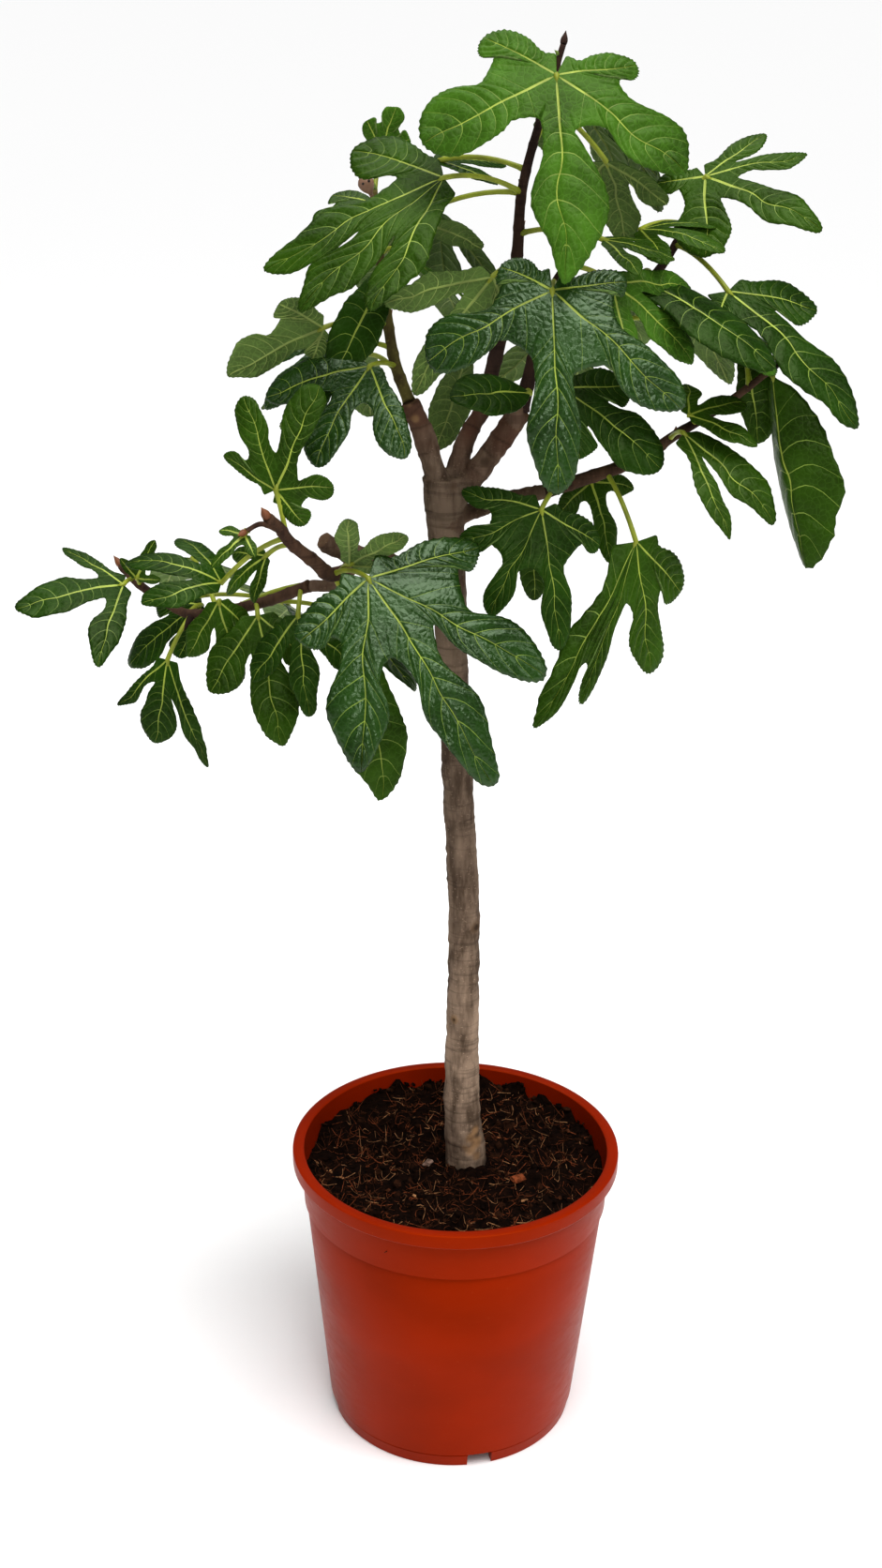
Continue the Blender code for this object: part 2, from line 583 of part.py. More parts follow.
def lobe_halves(form_name):
    """For each half of each lobe: its side, its lobe, its edge's turning points and the point before them."""
    lobes = FORMS[form_name]
    corners = [clock(lobes[0][0] - HEEL_TURN) * HEEL_OUT]
    corners += [bay_between(left, right) for left, right in zip(lobes, lobes[1:])]
    corners.append(clock(lobes[-1][0] + HEEL_TURN) * HEEL_OUT)
    halves = []
    for index, lobe in enumerate(lobes):
        for side in (-1, 1):
            corner = corners[index + (side > 0)]
            beyond = index + side
            lead = Vector((0, 0))
            if 0 <= beyond < len(lobes):
                lead = margin_points(lobes[beyond], corner, -side)[1]
            halves.append((side, lobe, margin_points(lobe, corner, side), lead))
    return halves


def margin_at(turns, lead, other_side, share):
    """A point on a lobe's smooth edge, from its bay at 0 to its tip at 1."""
    line = [lead, *turns, other_side]
    place = share * (len(turns) - 1)
    index = min(int(place), len(turns) - 2)
    return between(*line[index:index + 4], place - index)


class Blade:
    """Where a leaf's flat outline lies once it is bent and set on its stalk."""

    def __init__(self, base, pose, roll, droop, fold):
        heading, climb, length = pose
        along = bearing(heading, climb)
        up = (Vector((0, 0, 1)) - along * along.z).normalized()
        side = along.cross(up)
        turn = math.radians(roll)
        face = up * math.cos(turn) + side * math.sin(turn)
        half_droop = math.radians(max(droop, 1)) / 2
        self.base = base
        self.side = along.cross(face)
        self.along = along * math.cos(half_droop) + face * math.sin(half_droop)
        self.face = face * math.cos(half_droop) - along * math.sin(half_droop)
        self.size = length * half_droop / math.sin(half_droop)
        self.curl = 2 * half_droop / self.size
        self.fold = math.radians(fold)

    def place(self, spot):
        """The point in space for a flat point given in shares of the blade's length."""
        x, y = spot.x * self.size, spot.y * self.size
        sunk = -math.sin(self.fold) * (math.hypot(x, 0.004) - 0.004)
        x *= math.cos(self.fold)
        out = math.hypot(x, y)
        if out > 1e-9:
            flat = math.sin(self.curl * out) / (self.curl * out)
            sunk -= (1 - math.cos(self.curl * out)) / self.curl
            x, y = x * flat, y * flat
        return self.base + self.side * x + self.along * y + self.face * sunk


def blade_mesh(name, blade, form_name):
    """A leaf blade of a few faces, with its thickness."""
    mesh = bpy.data.meshes.new(name)
    form = bmesh.new()
    made = {}

    def vert(spot):
        key = (round(spot.x, 5), round(spot.y, 5))
        if key not in made:
            made[key] = form.verts.new(blade.place(spot))
        return made[key]

    for side, (angle, length, _), turns, lead in lobe_halves(form_name):
        out = clock(angle) * length
        over_vein = 2 * out * turns[3].dot(out) / out.dot(out) - turns[3]
        vein = [out * (VEIN_START + (1 - VEIN_START) * share ** VEIN_SPREAD) for share in EDGE_SHARES]
        edge = [margin_at(turns, lead, over_vein, share) for share in EDGE_SHARES]
        faces = [
            (Vector((0, 0)), vein[0], edge[0]),
            (vein[0], vein[1], edge[1], edge[0]),
            (vein[1], vein[2], edge[2], edge[1]),
            (vein[2], out, edge[2]),
        ]
        for corners in faces:
            ring = [vert(corner) for corner in corners]
            form.faces.new(ring[::-1] if side > 0 else ring)
    bmesh.ops.triangulate(form, faces=form.faces)
    form.normal_update()
    normals = {spot: spot.normal.copy() for spot in form.verts}
    tops = list(form.faces)
    grown = bmesh.ops.extrude_face_region(form, geom=tops, use_keep_orig=True)["geom"]
    for spot in grown:
        if isinstance(spot, bmesh.types.BMVert):
            nearest = min(normals, key=lambda other: (other.co - spot.co).length_squared)
            spot.co -= normals[nearest] * LEAF_THICKNESS
    bmesh.ops.recalc_face_normals(form, faces=form.faces)
    form.to_mesh(mesh)
    form.free()
    return mesh


def fig_mesh(name, start):
    """A small fig on its stalk."""
    way = bearing(*FIG_WAY)
    line = [start]
    widths = [STALK_THICKNESS]
    for along, share in FIG_PROFILE:
        line.append(start + way * (FIG_STALK + along * FIG_LENGTH))
        widths.append(2 * FIG_RADIUS * share)
    return tube_mesh(name, line, widths, SHOOT_PROFILE)


def tree_of(mesh):
    """What touch tests need of a mesh."""
    form = bmesh.new()
    form.from_mesh(mesh)
    tree = BVHTree.FromBMesh(form)
    form.free()
    return tree


def stalk_mesh(name, start, blade):
    """A leaf's stalk: it rises from its shoot and bends over into the blade."""
    end = blade.base + blade.along * STALK_ROOT - blade.face * LEAF_THICKNESS / 2
    bow = (start + blade.base) / 2 + Vector((0, 0, STALK_RISE)) * (blade.base - start).length
    line = []
    for step in range(4):
        t = step / 3
        line.append(start * (1 - t) ** 2 + bow * 2 * t * (1 - t) + blade.base * t * t)
    widths = [STALK_THICKNESS * share for share in STALK_TAPER]
    return tube_mesh(name, [*line, end], widths, STALK_PROFILE)


class Crown:
    """The masses of leaves as they grow, and what each new leaf has to keep clear of."""

    def __init__(self, limbs):
        self.limbs = [(limb.name, tree_of(limb.data)) for limb in limbs]
        self.pieces = {name: [] for name in SHOOTS}
        self.shoots = {}
        self.blades = []
        for mass, shoots in SHOOTS.items():
            stem = True
            for name, (points, thick_start, thick_end) in shoots.items():
                route = Route(points, thick_start, thick_end)
                self.shoots[name] = route
                line = stem_line(route, GROWS_FROM[mass]) if stem else route.stretch(0, route.length)
                mesh = tube_mesh(name, *line, SHOOT_PROFILE)
                self.pieces[mass].append(mesh)
                self.limbs.append((mass, tree_of(mesh)))
                stem = False
                if name == FIG_SHOOT:
                    self.pieces[mass].append(fig_mesh("fig", route.at(FIG_SHARE * route.length)))

    def touches(self, mass, meshes, own=False):
        """The names of the limbs and masses that these meshes touch, their own mass left out."""
        trees = [tree_of(mesh) for mesh in meshes]
        found = set()
        for name, tree in self.limbs + self.blades:
            if (name != mass or own) and any(tree.overlap(other) for other in trees):
                found.add(name)
        return found

    def add(self, mass, meshes):
        self.pieces[mass] += meshes
        for mesh in meshes:
            self.blades.append((mass, tree_of(mesh)))

    def leaf(self, mass, row, index):
        """The stalk and blade of one leaf."""
        shoot, share, stalk, pose, roll, form_name, droop, fold = row
        route = self.shoots[shoot]
        start = route.at(share * route.length)
        base = start + bearing(stalk[0], stalk[1]) * stalk[2]
        blade = Blade(base, pose, roll, droop, fold)
        name = f"{mass} {index}"
        return [stalk_mesh(name + " stalk", start, blade), blade_mesh(name + " blade", blade, form_name)]

    def shows(self, mesh):
        """The share of a mesh that the viewer sees beside the leaves that are there already."""
        seen = 0
        for vert in mesh.vertices:
            way = VIEWER - vert.co
            start = vert.co + way.normalized() * 2 * LEAF_THICKNESS
            hidden = any(tree.ray_cast(start, way)[0] for _, tree in self.blades)
            seen += not hidden
        return seen / len(mesh.vertices)

    def fill(self, rng):
        """Grows leaves at the back and sides by rule, and skips each that would touch or stand in a gap."""
        for mass, wanted in FILL_LEAVES.items():
            shoots = list(SHOOTS[mass])
            grown = 0
            heading = rng.uniform(0, 360)
            for index in range(FILL_TRIES):
                heading = (heading + SPIRAL + rng.uniform(-20, 20)) % 360
                row = (rng.choice(shoots), rng.uniform(0.1, 1.0),
                       (heading, rng.uniform(-15, 45), rng.uniform(0.05, 0.11)),
                       (heading + rng.uniform(-30, 30), rng.uniform(-65, -20), rng.uniform(0.11, 0.16)),
                       rng.uniform(-20, 20), rng.choice(FILL_FORMS), rng.uniform(20, 40), rng.uniform(0, 10))
                if grown == wanted:
                    continue
                meshes = self.leaf(mass, row, f"fill {index}")
                if self.has_room(mass, *meshes):
                    self.add(mass, meshes)
                    grown += 1

    def has_room(self, mass, stalk, blade):
        """Whether a rule-grown leaf is within reach, out of the viewer's gaps and clear of all others."""
        for vert in blade.vertices:
            if any(not low < place < high for low, place, high in zip(REACH_LOW, vert.co, REACH_HIGH)):
                return False
        if self.shows(blade) >= MOST_IN_VIEW:
            return False
        return not self.touches(mass, [blade], own=True) and not self.touches(mass, [stalk])


def main():
    for obj in list(bpy.data.objects):
        bpy.data.objects.remove(obj)
    tree = bpy.data.collections.new("potted fig tree")
    helpers = bpy.data.collections.new("cutters")
    for collection in (tree, helpers):
        bpy.context.scene.collection.children.link(collection)
    make_pot(tree, helpers)
    make_compost(tree)
    limbs = make_limbs(tree)
    crown = Crown(limbs)
    for mass, rows in LEAVES.items():
        for index, row in enumerate(rows):
            meshes = crown.leaf(mass, row, index)
            if not crown.touches(mass, meshes):
                crown.add(mass, meshes)
    crown.fill(random.Random(SEED))
    for mass, pieces in crown.pieces.items():
        new_object(mass, joined(mass, pieces, "MANIFOLD"), tree, "fig leaf")


main()
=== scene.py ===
"""Dresses the potted fig tree and sets its floor, lights and camera.

Metres, +Z up. The viewer is on the -Y side. The leaves are grown by the same rule as the solids they stand
for, and then each is given its veins, quilting and toothed edge.
"""

import math
import random

import bmesh
import bpy
from mathutils import Matrix, Vector, noise
from mathutils.bvhtree import BVHTree
from mathutils.kdtree import KDTree


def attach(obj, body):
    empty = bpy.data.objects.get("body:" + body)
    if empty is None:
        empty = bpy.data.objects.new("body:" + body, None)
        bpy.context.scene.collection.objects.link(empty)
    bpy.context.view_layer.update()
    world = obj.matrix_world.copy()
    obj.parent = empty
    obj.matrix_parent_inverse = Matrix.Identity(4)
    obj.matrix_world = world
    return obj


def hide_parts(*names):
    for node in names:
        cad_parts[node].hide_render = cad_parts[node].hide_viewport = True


GAP = 0.0003  # left between solids that touch

# Pot
POT_HEIGHT = 0.2757
RIM_RADIUS = 0.150
RIM_INNER_RADIUS = 0.1392
LIP_HEIGHT = 0.014
LIP_ROUND = 0.0035
WALL = 0.0025
WALL_TOP_RADIUS = 0.1414
WALL_BASE_RADIUS = 0.1149
STEP_BELOW_RIM = 0.052
STEP_OUT = 0.0020
FOOT_RADIUS = 0.1116
FOOT_INNER_RADIUS = 0.104
FOOT_WIDER = 0.0016  # how much further out the dressed foot stands
FOOT_LINE = 0.0135  # height of the groove round the foot
FOOT_GROOVE = 0.0018
FLOOR_UNDERSIDE = 0.0145
FLOOR_TOP = 0.0170
PAD_RADIUS = 0.022
EDGE_ROUND = 0.0006
SPIN_STEPS = 144
CREASE = 32  # degrees beyond which an edge is shaded sharp
NOTCH_COUNT = 4
NOTCH_WIDTH = 0.023
NOTCH_HEIGHT = 0.0128
NOTCH_REACH = 0.024  # more than the foot is thick
NOTCH_TURN = 13.5  # degrees from the front to the first notch
NOTCH_ROUND = 0.0015

# Compost
COMPOST_TOP = 0.2500
COMPOST_EDGE_DROP = 0.003
COMPOST_RISE = 0.002
COMPOST_CLEAR = 0.0008  # between it and the pot's wall
STEP_LEVEL = 0.22  # where it follows the pot's inner step
COMPOST_RINGS = 84
COMPOST_STEPS = 200
BACK_RISE = 0.013  # how much higher it lies against the back wall
MOUND_RISE = 0.006  # how much higher it lies round the trunk
MOUND_REACH = 0.030
TRUNK_PLACE = Vector((0.010, 0.006, 0))
TRUNK_CLEAR = 0.0215  # how near the trunk's middle crumbs lie
# The rough surface: height, layer and fineness of each noise
ROUGHNESS = ((0.0066, 0.3, 17), (0.0060, 1.7, 46), (0.0046, 4.1, 115), (0.0026, 6.2, 260))
SOIL_SEED = 5
SOIL_REACH = 0.134
CRUMBS = 1000
CRUMB_SIZES = (0.0009, 0.0032)
CRUMB_CLEAR = 0.0012  # between a crumb and the pot's wall
CRUMBS_UP_WALL = 0.005
FIBRES = 1100
FIBRE_REACH = 0.132
FIBRE_LENGTHS = (0.005, 0.019)
FIBRE_WIDTHS = (0.0004, 0.0009)
FIBRE_SWELLS = (1, 1.2, 1, 0.9, 0.5)
FIBRE_SLOTS = (4, 2, 4, 3, 4, 2)
CHIPS = 26
CHIP_SIZES = (0.002, 0.0048)
CHIP_FLATNESS = 0.42
CHIP_EDGE = 0.14  # as a share of its size
BIG_CHIPS = (((-0.0250, -0.006, 0), 0.0085, 5), ((0.0575, -0.027, 0), 0.0105, 2))  # place, size, slot

# Trunk: its centre line, with each point's height above the compost, and its thickness there
TRUNK = (
    ((0.010, 0.006, 0.000), 0.048),
    ((0.009, 0.004, 0.020), 0.038),
    ((0.005, 0.000, 0.070), 0.0325),
    ((0.004, 0.000, 0.180), 0.0282),
    ((0.003, 0.000, 0.270), 0.0272),
    ((-0.004, 0.000, 0.380), 0.0260),
    ((-0.011, 0.000, 0.500), 0.0260),
    ((-0.017, 0.000, 0.600), 0.0305),
    ((-0.021, 0.000, 0.655), 0.0345),
)

# Limbs that leave the trunk: route, thickness at its two ends, and the length that is one with the trunk
BOUGHS = {
    "bough_cut_left": (((-0.023, -0.002, 0.893), (-0.037, -0.004, 0.939), (-0.049, -0.006, 0.966)),
                       0.0190, 0.0165, 0.040),
    "bough_middle": (((-0.016, 0.003, 0.893), (-0.001, 0.008, 0.937), (0.010, 0.012, 0.957)),
                     0.0165, 0.0140, 0.040),
    "bough_cut_right": (((-0.016, -0.003, 0.880), (0.015, -0.003, 0.922), (0.041, -0.003, 0.961)),
                        0.0205, 0.0175, 0.056),
    "bough_right": (((-0.018, 0.000, 0.866), (0.027, 0.005, 0.884), (0.063, 0.010, 0.891)),
                    0.0150, 0.0120, 0.040),
    "bough_left": (((-0.014, 0.000, 0.818), (-0.060, -0.010, 0.832), (-0.104, -0.024, 0.849),
                    (-0.117, -0.031, 0.859)), 0.0215, 0.0150, 0.034),
    "bough_far_left": (((-0.014, 0.006, 0.793), (-0.077, 0.020, 0.804), (-0.132, 0.022, 0.803)),
                       0.0115, 0.0100, 0.034),
}
# A short arm on the left bough, which the near left shoot grows on from
LEFT_ARM = ((-0.085, -0.018, 0.839), (-0.100, -0.033, 0.832))
LEFT_ARM_THICKNESS = 0.0130
TRUNK_PROFILE = 4
BOUGH_PROFILE = 2
SHOOT_PROFILE = 1
STALK_PROFILE = 0

# The limb that each mass grows from
GROWS_FROM = {
    "foliage_top": "bough_middle",
    "foliage_left": "bough_cut_left",
    "foliage_front": "bough_cut_right",
    "foliage_right": "bough_right",
    "foliage_near_left": "bough_left",
    "foliage_far_left": "bough_far_left",
}
STEM_COLLAR = 0.004  # how far a stem runs straight on from its limb

# Shoots of each mass: route, thickness at its two ends. The first one is the stem that the others leave.
SHOOTS = {
    "foliage_top": {
        "leader": (((0.010, 0.012, 0.957), (0.023, 0.020, 1.014), (0.034, 0.020, 1.072),
                    (0.037, 0.020, 1.127), (0.049, 0.018, 1.180), (0.065, 0.010, 1.238)), 0.0130, 0.0045),
    },
    "foliage_left": {
        "left shoot": (((-0.049, -0.003, 0.966), (-0.061, 0.014, 0.994), (-0.068, 0.030, 1.029),
                        (-0.076, 0.048, 1.085), (-0.080, 0.062, 1.121)), 0.0100, 0.0060),
    },
    "foliage_front": {
        "front shoot": (((0.041, -0.003, 0.961), (0.051, -0.008, 1.012), (0.063, -0.022, 1.064),
                         (0.084, -0.042, 1.095)), 0.0120, 0.0050),
        "back shoot": (((0.050, -0.005, 1.005), (0.104, 0.045, 1.029), (0.151, 0.078, 1.058),
                        (0.175, 0.085, 1.098)), 0.0095, 0.0060),
    },
    "foliage_right": {
        "right shoot": (((0.063, 0.010, 0.891), (0.107, 0.018, 0.904), (0.146, 0.030, 0.916),
                         (0.165, 0.036, 0.930), (0.208, 0.042, 0.957), (0.249, 0.040, 0.991)),
                        0.0120, 0.0050),
    },
    "foliage_near_left": {
        "near shoot": (((-0.100, -0.033, 0.832), (-0.112, -0.043, 0.834), (-0.122, -0.054, 0.847),
                        (-0.140, -0.072, 0.868), (-0.148, -0.084, 0.884), (-0.156, -0.096, 0.895)),
                       0.0125, 0.0080),
        "arched twig": (((-0.146, -0.080, 0.879), (-0.160, -0.100, 0.891), (-0.172, -0.112, 0.888)),
                        0.0050, 0.0035),
    },
    "foliage_far_left": {
        "far shoot": (((-0.132, 0.022, 0.803), (-0.178, 0.045, 0.779), (-0.233, 0.076, 0.759),
                       (-0.255, 0.090, 0.760), (-0.286, 0.108, 0.774), (-0.304, 0.120, 0.788)),
                      0.0100, 0.0070),
    },
}

# Leaf forms: each lobe's angle from the middle one, length and half width as shares of the blade's length.
# A positive angle is to the left of a hanging leaf that shows its upper side.
FORMS = {
    "five": ((-96, 0.46, 0.13), (-47, 0.82, 0.15), (0, 1.00, 0.15), (47, 0.82, 0.15), (96, 0.46, 0.13)),
    "crown": ((-100, 0.39, 0.12), (-50, 0.76, 0.16), (0, 1.00, 0.19), (57, 0.72, 0.18), (119, 0.38, 0.14)),
    "front": ((-98, 0.36, 0.13), (-40, 0.84, 0.17), (0, 1.00, 0.13), (60, 0.70, 0.17), (114, 0.30, 0.14)),
    "low front": ((-87, 0.45, 0.13), (-32, 0.81, 0.13), (0, 1.00, 0.15), (29, 0.86, 0.12), (84, 0.50, 0.13)),
    "deep": ((-49, 0.47, 0.15), (0, 1.00, 0.11), (36, 0.84, 0.10), (77, 0.60, 0.11), (112, 0.58, 0.10)),
    "swept": ((-36, 0.80, 0.11), (-14, 0.98, 0.12), (3, 1.00, 0.11), (56, 0.50, 0.15)),
    "upright": ((-72, 0.61, 0.09), (-38, 0.89, 0.16), (0, 1.00, 0.17), (65, 0.54, 0.16), (121, 0.42, 0.14)),
    "dark": ((-44, 0.98, 0.18), (0, 1.00, 0.19), (49, 0.95, 0.17)),
    "claw": ((-69, 0.61, 0.10), (-42, 0.82, 0.08), (0, 1.00, 0.15), (62, 0.72, 0.22), (150, 0.37, 0.12)),
    "strap": ((-39, 0.50, 0.14), (0, 1.00, 0.14), (70, 0.24, 0.10)),
    "folded": ((-74, 0.40, 0.12), (-38, 0.64, 0.10), (-10, 0.84, 0.08), (0, 1.00, 0.08)),
    "forked": ((0, 1.00, 0.17), (25, 0.92, 0.08)),
    "fan": ((-105, 0.71, 0.18), (-48, 0.96, 0.20), (3, 1.00, 0.18)),
    "hook": ((-46, 0.80, 0.13), (0, 1.00, 0.13), (60, 0.32, 0.11)),
    "cross": ((-60, 0.90, 0.14), (0, 1.00, 0.20), (58, 0.74, 0.08)),
    "tailed": ((-14, 1.25, 0.10), (14, 0.92, 0.20), (52, 0.76, 0.07)),
    "hand": ((-68, 0.58, 0.13), (0, 1.00, 0.15), (65, 0.56, 0.13)),
    "side": ((-38, 0.50, 0.14), (0, 1.00, 0.17), (42, 0.68, 0.16)),
    "three": ((-42, 0.80, 0.15), (0, 1.00, 0.16), (42, 0.80, 0.15)),
    "broad": ((-42, 0.58, 0.17), (0, 1.00, 0.24), (42, 0.60, 0.17)),
    "round": ((0, 1.00, 0.28),),
    "oval": ((0, 1.00, 0.20),),
}
NECK = 0.54  # half width of a lobe's neck as a share of its widest
# A lobe's edge: places from its bay to its tip, each with its half width as a share of the widest
PLAIN_EDGE = ((0.22, NECK), (0.62, 1.00), (0.93, 0.50))
FINE_EDGE = ((0.18, 0.70), (0.40, 0.94), (0.60, 1.00), (0.82, 0.80), (0.95, 0.42))
POINTED_FROM = 0.55  # how far out a pointed lobe starts to narrow, and by how much
POINTED_BY = 1.3
BAY = 1.2  # how far out a bay starts, as a share of where the two necks would cross
BAY_LEAST = 0.24
BAY_MOST = 0.72  # of the shorter lobe beside it
HEEL_TURN = 56  # degrees from an outer lobe to the blade's heel
HEEL_OUT = 0.11
LEAF_THICKNESS = 0.0022
VEIN_START = 0.20
VEIN_SPREAD = 1.2
EDGE_SHARES = (0, 0.5, 0.75)  # where a lobe's edge has its corners, from its bay to its tip
STALK_THICKNESS = 0.0046
STALK_ROOT = 0.006  # length of stalk sunk into the blade
STALK_SUNK = 0.0014  # how deep the dressed stalk ends under the blade
STALK_RISE = 0.16
STALK_TAPER = (1.25, 1.0, 0.9, 1.0, 0.6)

# Leaves: shoot and share of its length, then the stalk's heading, climb and length, then the blade's
# heading, climb and length, its roll, form, droop and fold. A heading of 0 is +X and -90 faces the
# viewer. A roll of 0 turns the upper side as far up as it goes.
LEAVES = {
    "foliage_top": (
        ("leader", 0.89, (-87, 14, 0.045), (-89, -64, 0.160), 0, "crown", 25, 0),
        ("leader", 0.60, (-146, 12, 0.075), (-163, -28, 0.155), -40, "swept", 20, 0),
        ("leader", 0.84, (4, -41, 0.065), (65, -53, 0.090), -5, "side", 30, 0),
        ("leader", 0.49, (-31, 2, 0.075), (-10, -13, 0.057), 15, "three", 20, 10),
        ("leader", 0.40, (-122, -4, 0.035), (-171, -56, 0.110), 80, "hook", 30, 0),
        ("leader", 0.60, (167, -15, 0.090), (28, -24, 0.070), -40, "oval", 20, 0),
        ("leader", 0.28, (147, -48, 0.055), (155, -73, 0.085), 50, "oval", 20, 0),
        ("leader", 0.66, (156, 2, 0.075), (29, -6, 0.062), 20, "three", 20, 0),
    ),
    "foliage_left": (
        ("left shoot", 0.98, (83, 42, 0.046), (0, 70, 0.036), 75, "three", 10, 0),
        ("left shoot", 0.93, (105, 4, 0.015), (-167, -20, 0.051), -25, "three", 20, 0),
        ("left shoot", 0.38, (-158, 1, 0.055), (-165, -29, 0.087), 80, "broad", 20, 0),
        ("left shoot", 0.57, (-79, 36, 0.025), (-145, -59, 0.101), -35, "oval", 20, 0),
        ("left shoot", 0.27, (168, 0, 0.050), (-169, -43, 0.075), -40, "three", 30, 0),
        ("left shoot", 0.18, (-126, 10, 0.035), (-130, -54, 0.089), -25, "dark", 30, 0),
    ),
    "foliage_front": (
        ("front shoot", 0.71, (-94, 6, 0.060), (-81, -71, 0.152), 10, "front", 30, 0),
        ("front shoot", 0.85, (23, -21, 0.040), (0, -42, 0.093), 50, "three", 30, 0),
        ("back shoot", 0.98, (-140, 1, 0.052), (-34, -8, 0.079), 15, "three", 35, 0),
        ("back shoot", 0.72, (-103, 7, 0.072), (-21, -28, 0.127), 25, "oval", 25, 10),
        ("back shoot", 0.98, (0, 71, 0.041), (-24, -19, 0.106), 45, "claw", 20, 0),
        ("back shoot", 0.89, (-49, -26, 0.067), (-21, -41, 0.150), 35, "strap", 30, 0),
        ("front shoot", 0.35, (46, -49, 0.050), (-13, -35, 0.102), 45, "broad", 20, 0),
        ("front shoot", 0.09, (-84, 13, 0.030), (-154, 2, 0.070), -30, "oval", 20, 0),
    ),
    "foliage_right": (
        ("right shoot", 0.05, (-110, -10, 0.045), (-50, -72, 0.113), 30, "deep", 30, 0),
        ("right shoot", 0.24, (-56, -48, 0.065), (-146, -59, 0.174), -65, "folded", 20, 15),
        ("right shoot", 0.21, (99, -26, 0.030), (-26, -72, 0.072), 40, "hand", 30, 0),
        ("right shoot", 0.04, (129, -56, 0.045), (0, -88, 0.065), 90, "oval", 20, 0),
        ("right shoot", 0.52, (-77, 21, 0.035), (-22, -39, 0.104), 35, "forked", 25, 0),
        ("right shoot", 0.63, (-105, 22, 0.040), (-10, -19, 0.060), 30, "fan", 20, 0),
        ("right shoot", 0.87, (103, 61, 0.036), (-30, -76, 0.082), 60, "round", 15, 0),
        ("right shoot", 0.98, (-97, -11, 0.015), (-41, -73, 0.158), 95, "round", 15, 35),
    ),
    "foliage_near_left": (
        ("near shoot", 0.10, (-59, 12, 0.060), (-38, -58, 0.181), 40, "low front", 30, 0),
        ("near shoot", 0.05, (-67, 30, 0.030), (-41, 31, 0.072), -50, "three", 15, 0),
        ("near shoot", 0.70, (180, 78, 0.039), (37, 68, 0.087), 50, "upright", 20, 0),
        ("near shoot", 0.70, (151, -37, 0.079), (166, 6, 0.083), -25, "three", 60, 0),
        ("near shoot", 0.58, (125, -23, 0.049), (164, -45, 0.049), -55, "three", 30, 0),
        ("near shoot", 0.10, (1, -71, 0.070), (-44, -77, 0.125), 40, "oval", 20, 0),
        ("arched twig", 0.95, (180, -60, 0.004), (-147, -37, 0.037), -30, "hand", 25, 0),
    ),
    "foliage_far_left": (
        ("far shoot", 0.04, (-91, -21, 0.035), (-72, -68, 0.083), 15, "three", 30, 0),
        ("far shoot", 0.27, (-82, -4, 0.025), (-61, -66, 0.113), 20, "side", 25, 0),
        ("far shoot", 0.44, (-89, 28, 0.046), (-20, -79, 0.077), 55, "side", 35, 15),
        ("far shoot", 0.62, (69, 0, 0.026), (180, -41, 0.088), -35, "broad", 30, 0),
        ("far shoot", 0.60, (-127, -46, 0.047), (-54, -81, 0.082), 40, "tailed", 30, 0),
        ("far shoot", 0.88, (-95, 39, 0.016), (0, 64, 0.039), 80, "hand", 30, 0),
        ("far shoot", 0.92, (-107, 3, 0.021), (-161, -9, 0.097), -30, "cross", 25, 0),
    ),
}

# Leaves that the back and sides need, grown by rule
SEED = 11
FILL_TRIES = 150
FILL_LEAVES = {"foliage_top": 8, "foliage_left": 6, "foliage_front": 5, "foliage_right": 5,
               "foliage_near_left": 3, "foliage_far_left": 4}
FILL_FORMS = ("five", "three", "side")
SPIRAL = 137.5
FILL_SHARES = (0.1, 1.0)
FILL_STALK_CLIMBS = (-15, 45)
FILL_STALK_LENGTHS = (0.05, 0.11)
FILL_TURNS = (-30, 30)
FILL_CLIMBS = (-65, -20)
FILL_LENGTHS = (0.11, 0.16)
FILL_ROLLS = (-20, 20)
FILL_DROOPS = (20, 40)
FILL_FOLDS = (0, 10)
REACH_LOW = Vector((-0.385, -0.25, 0.62))
REACH_HIGH = Vector((0.318, 0.26, 1.225))
VIEWER = Vector((-0.019, -1.725, 1.356))
MOST_IN_VIEW = 0.12  # share of a rule-grown leaf that may show in the gaps seen from the front

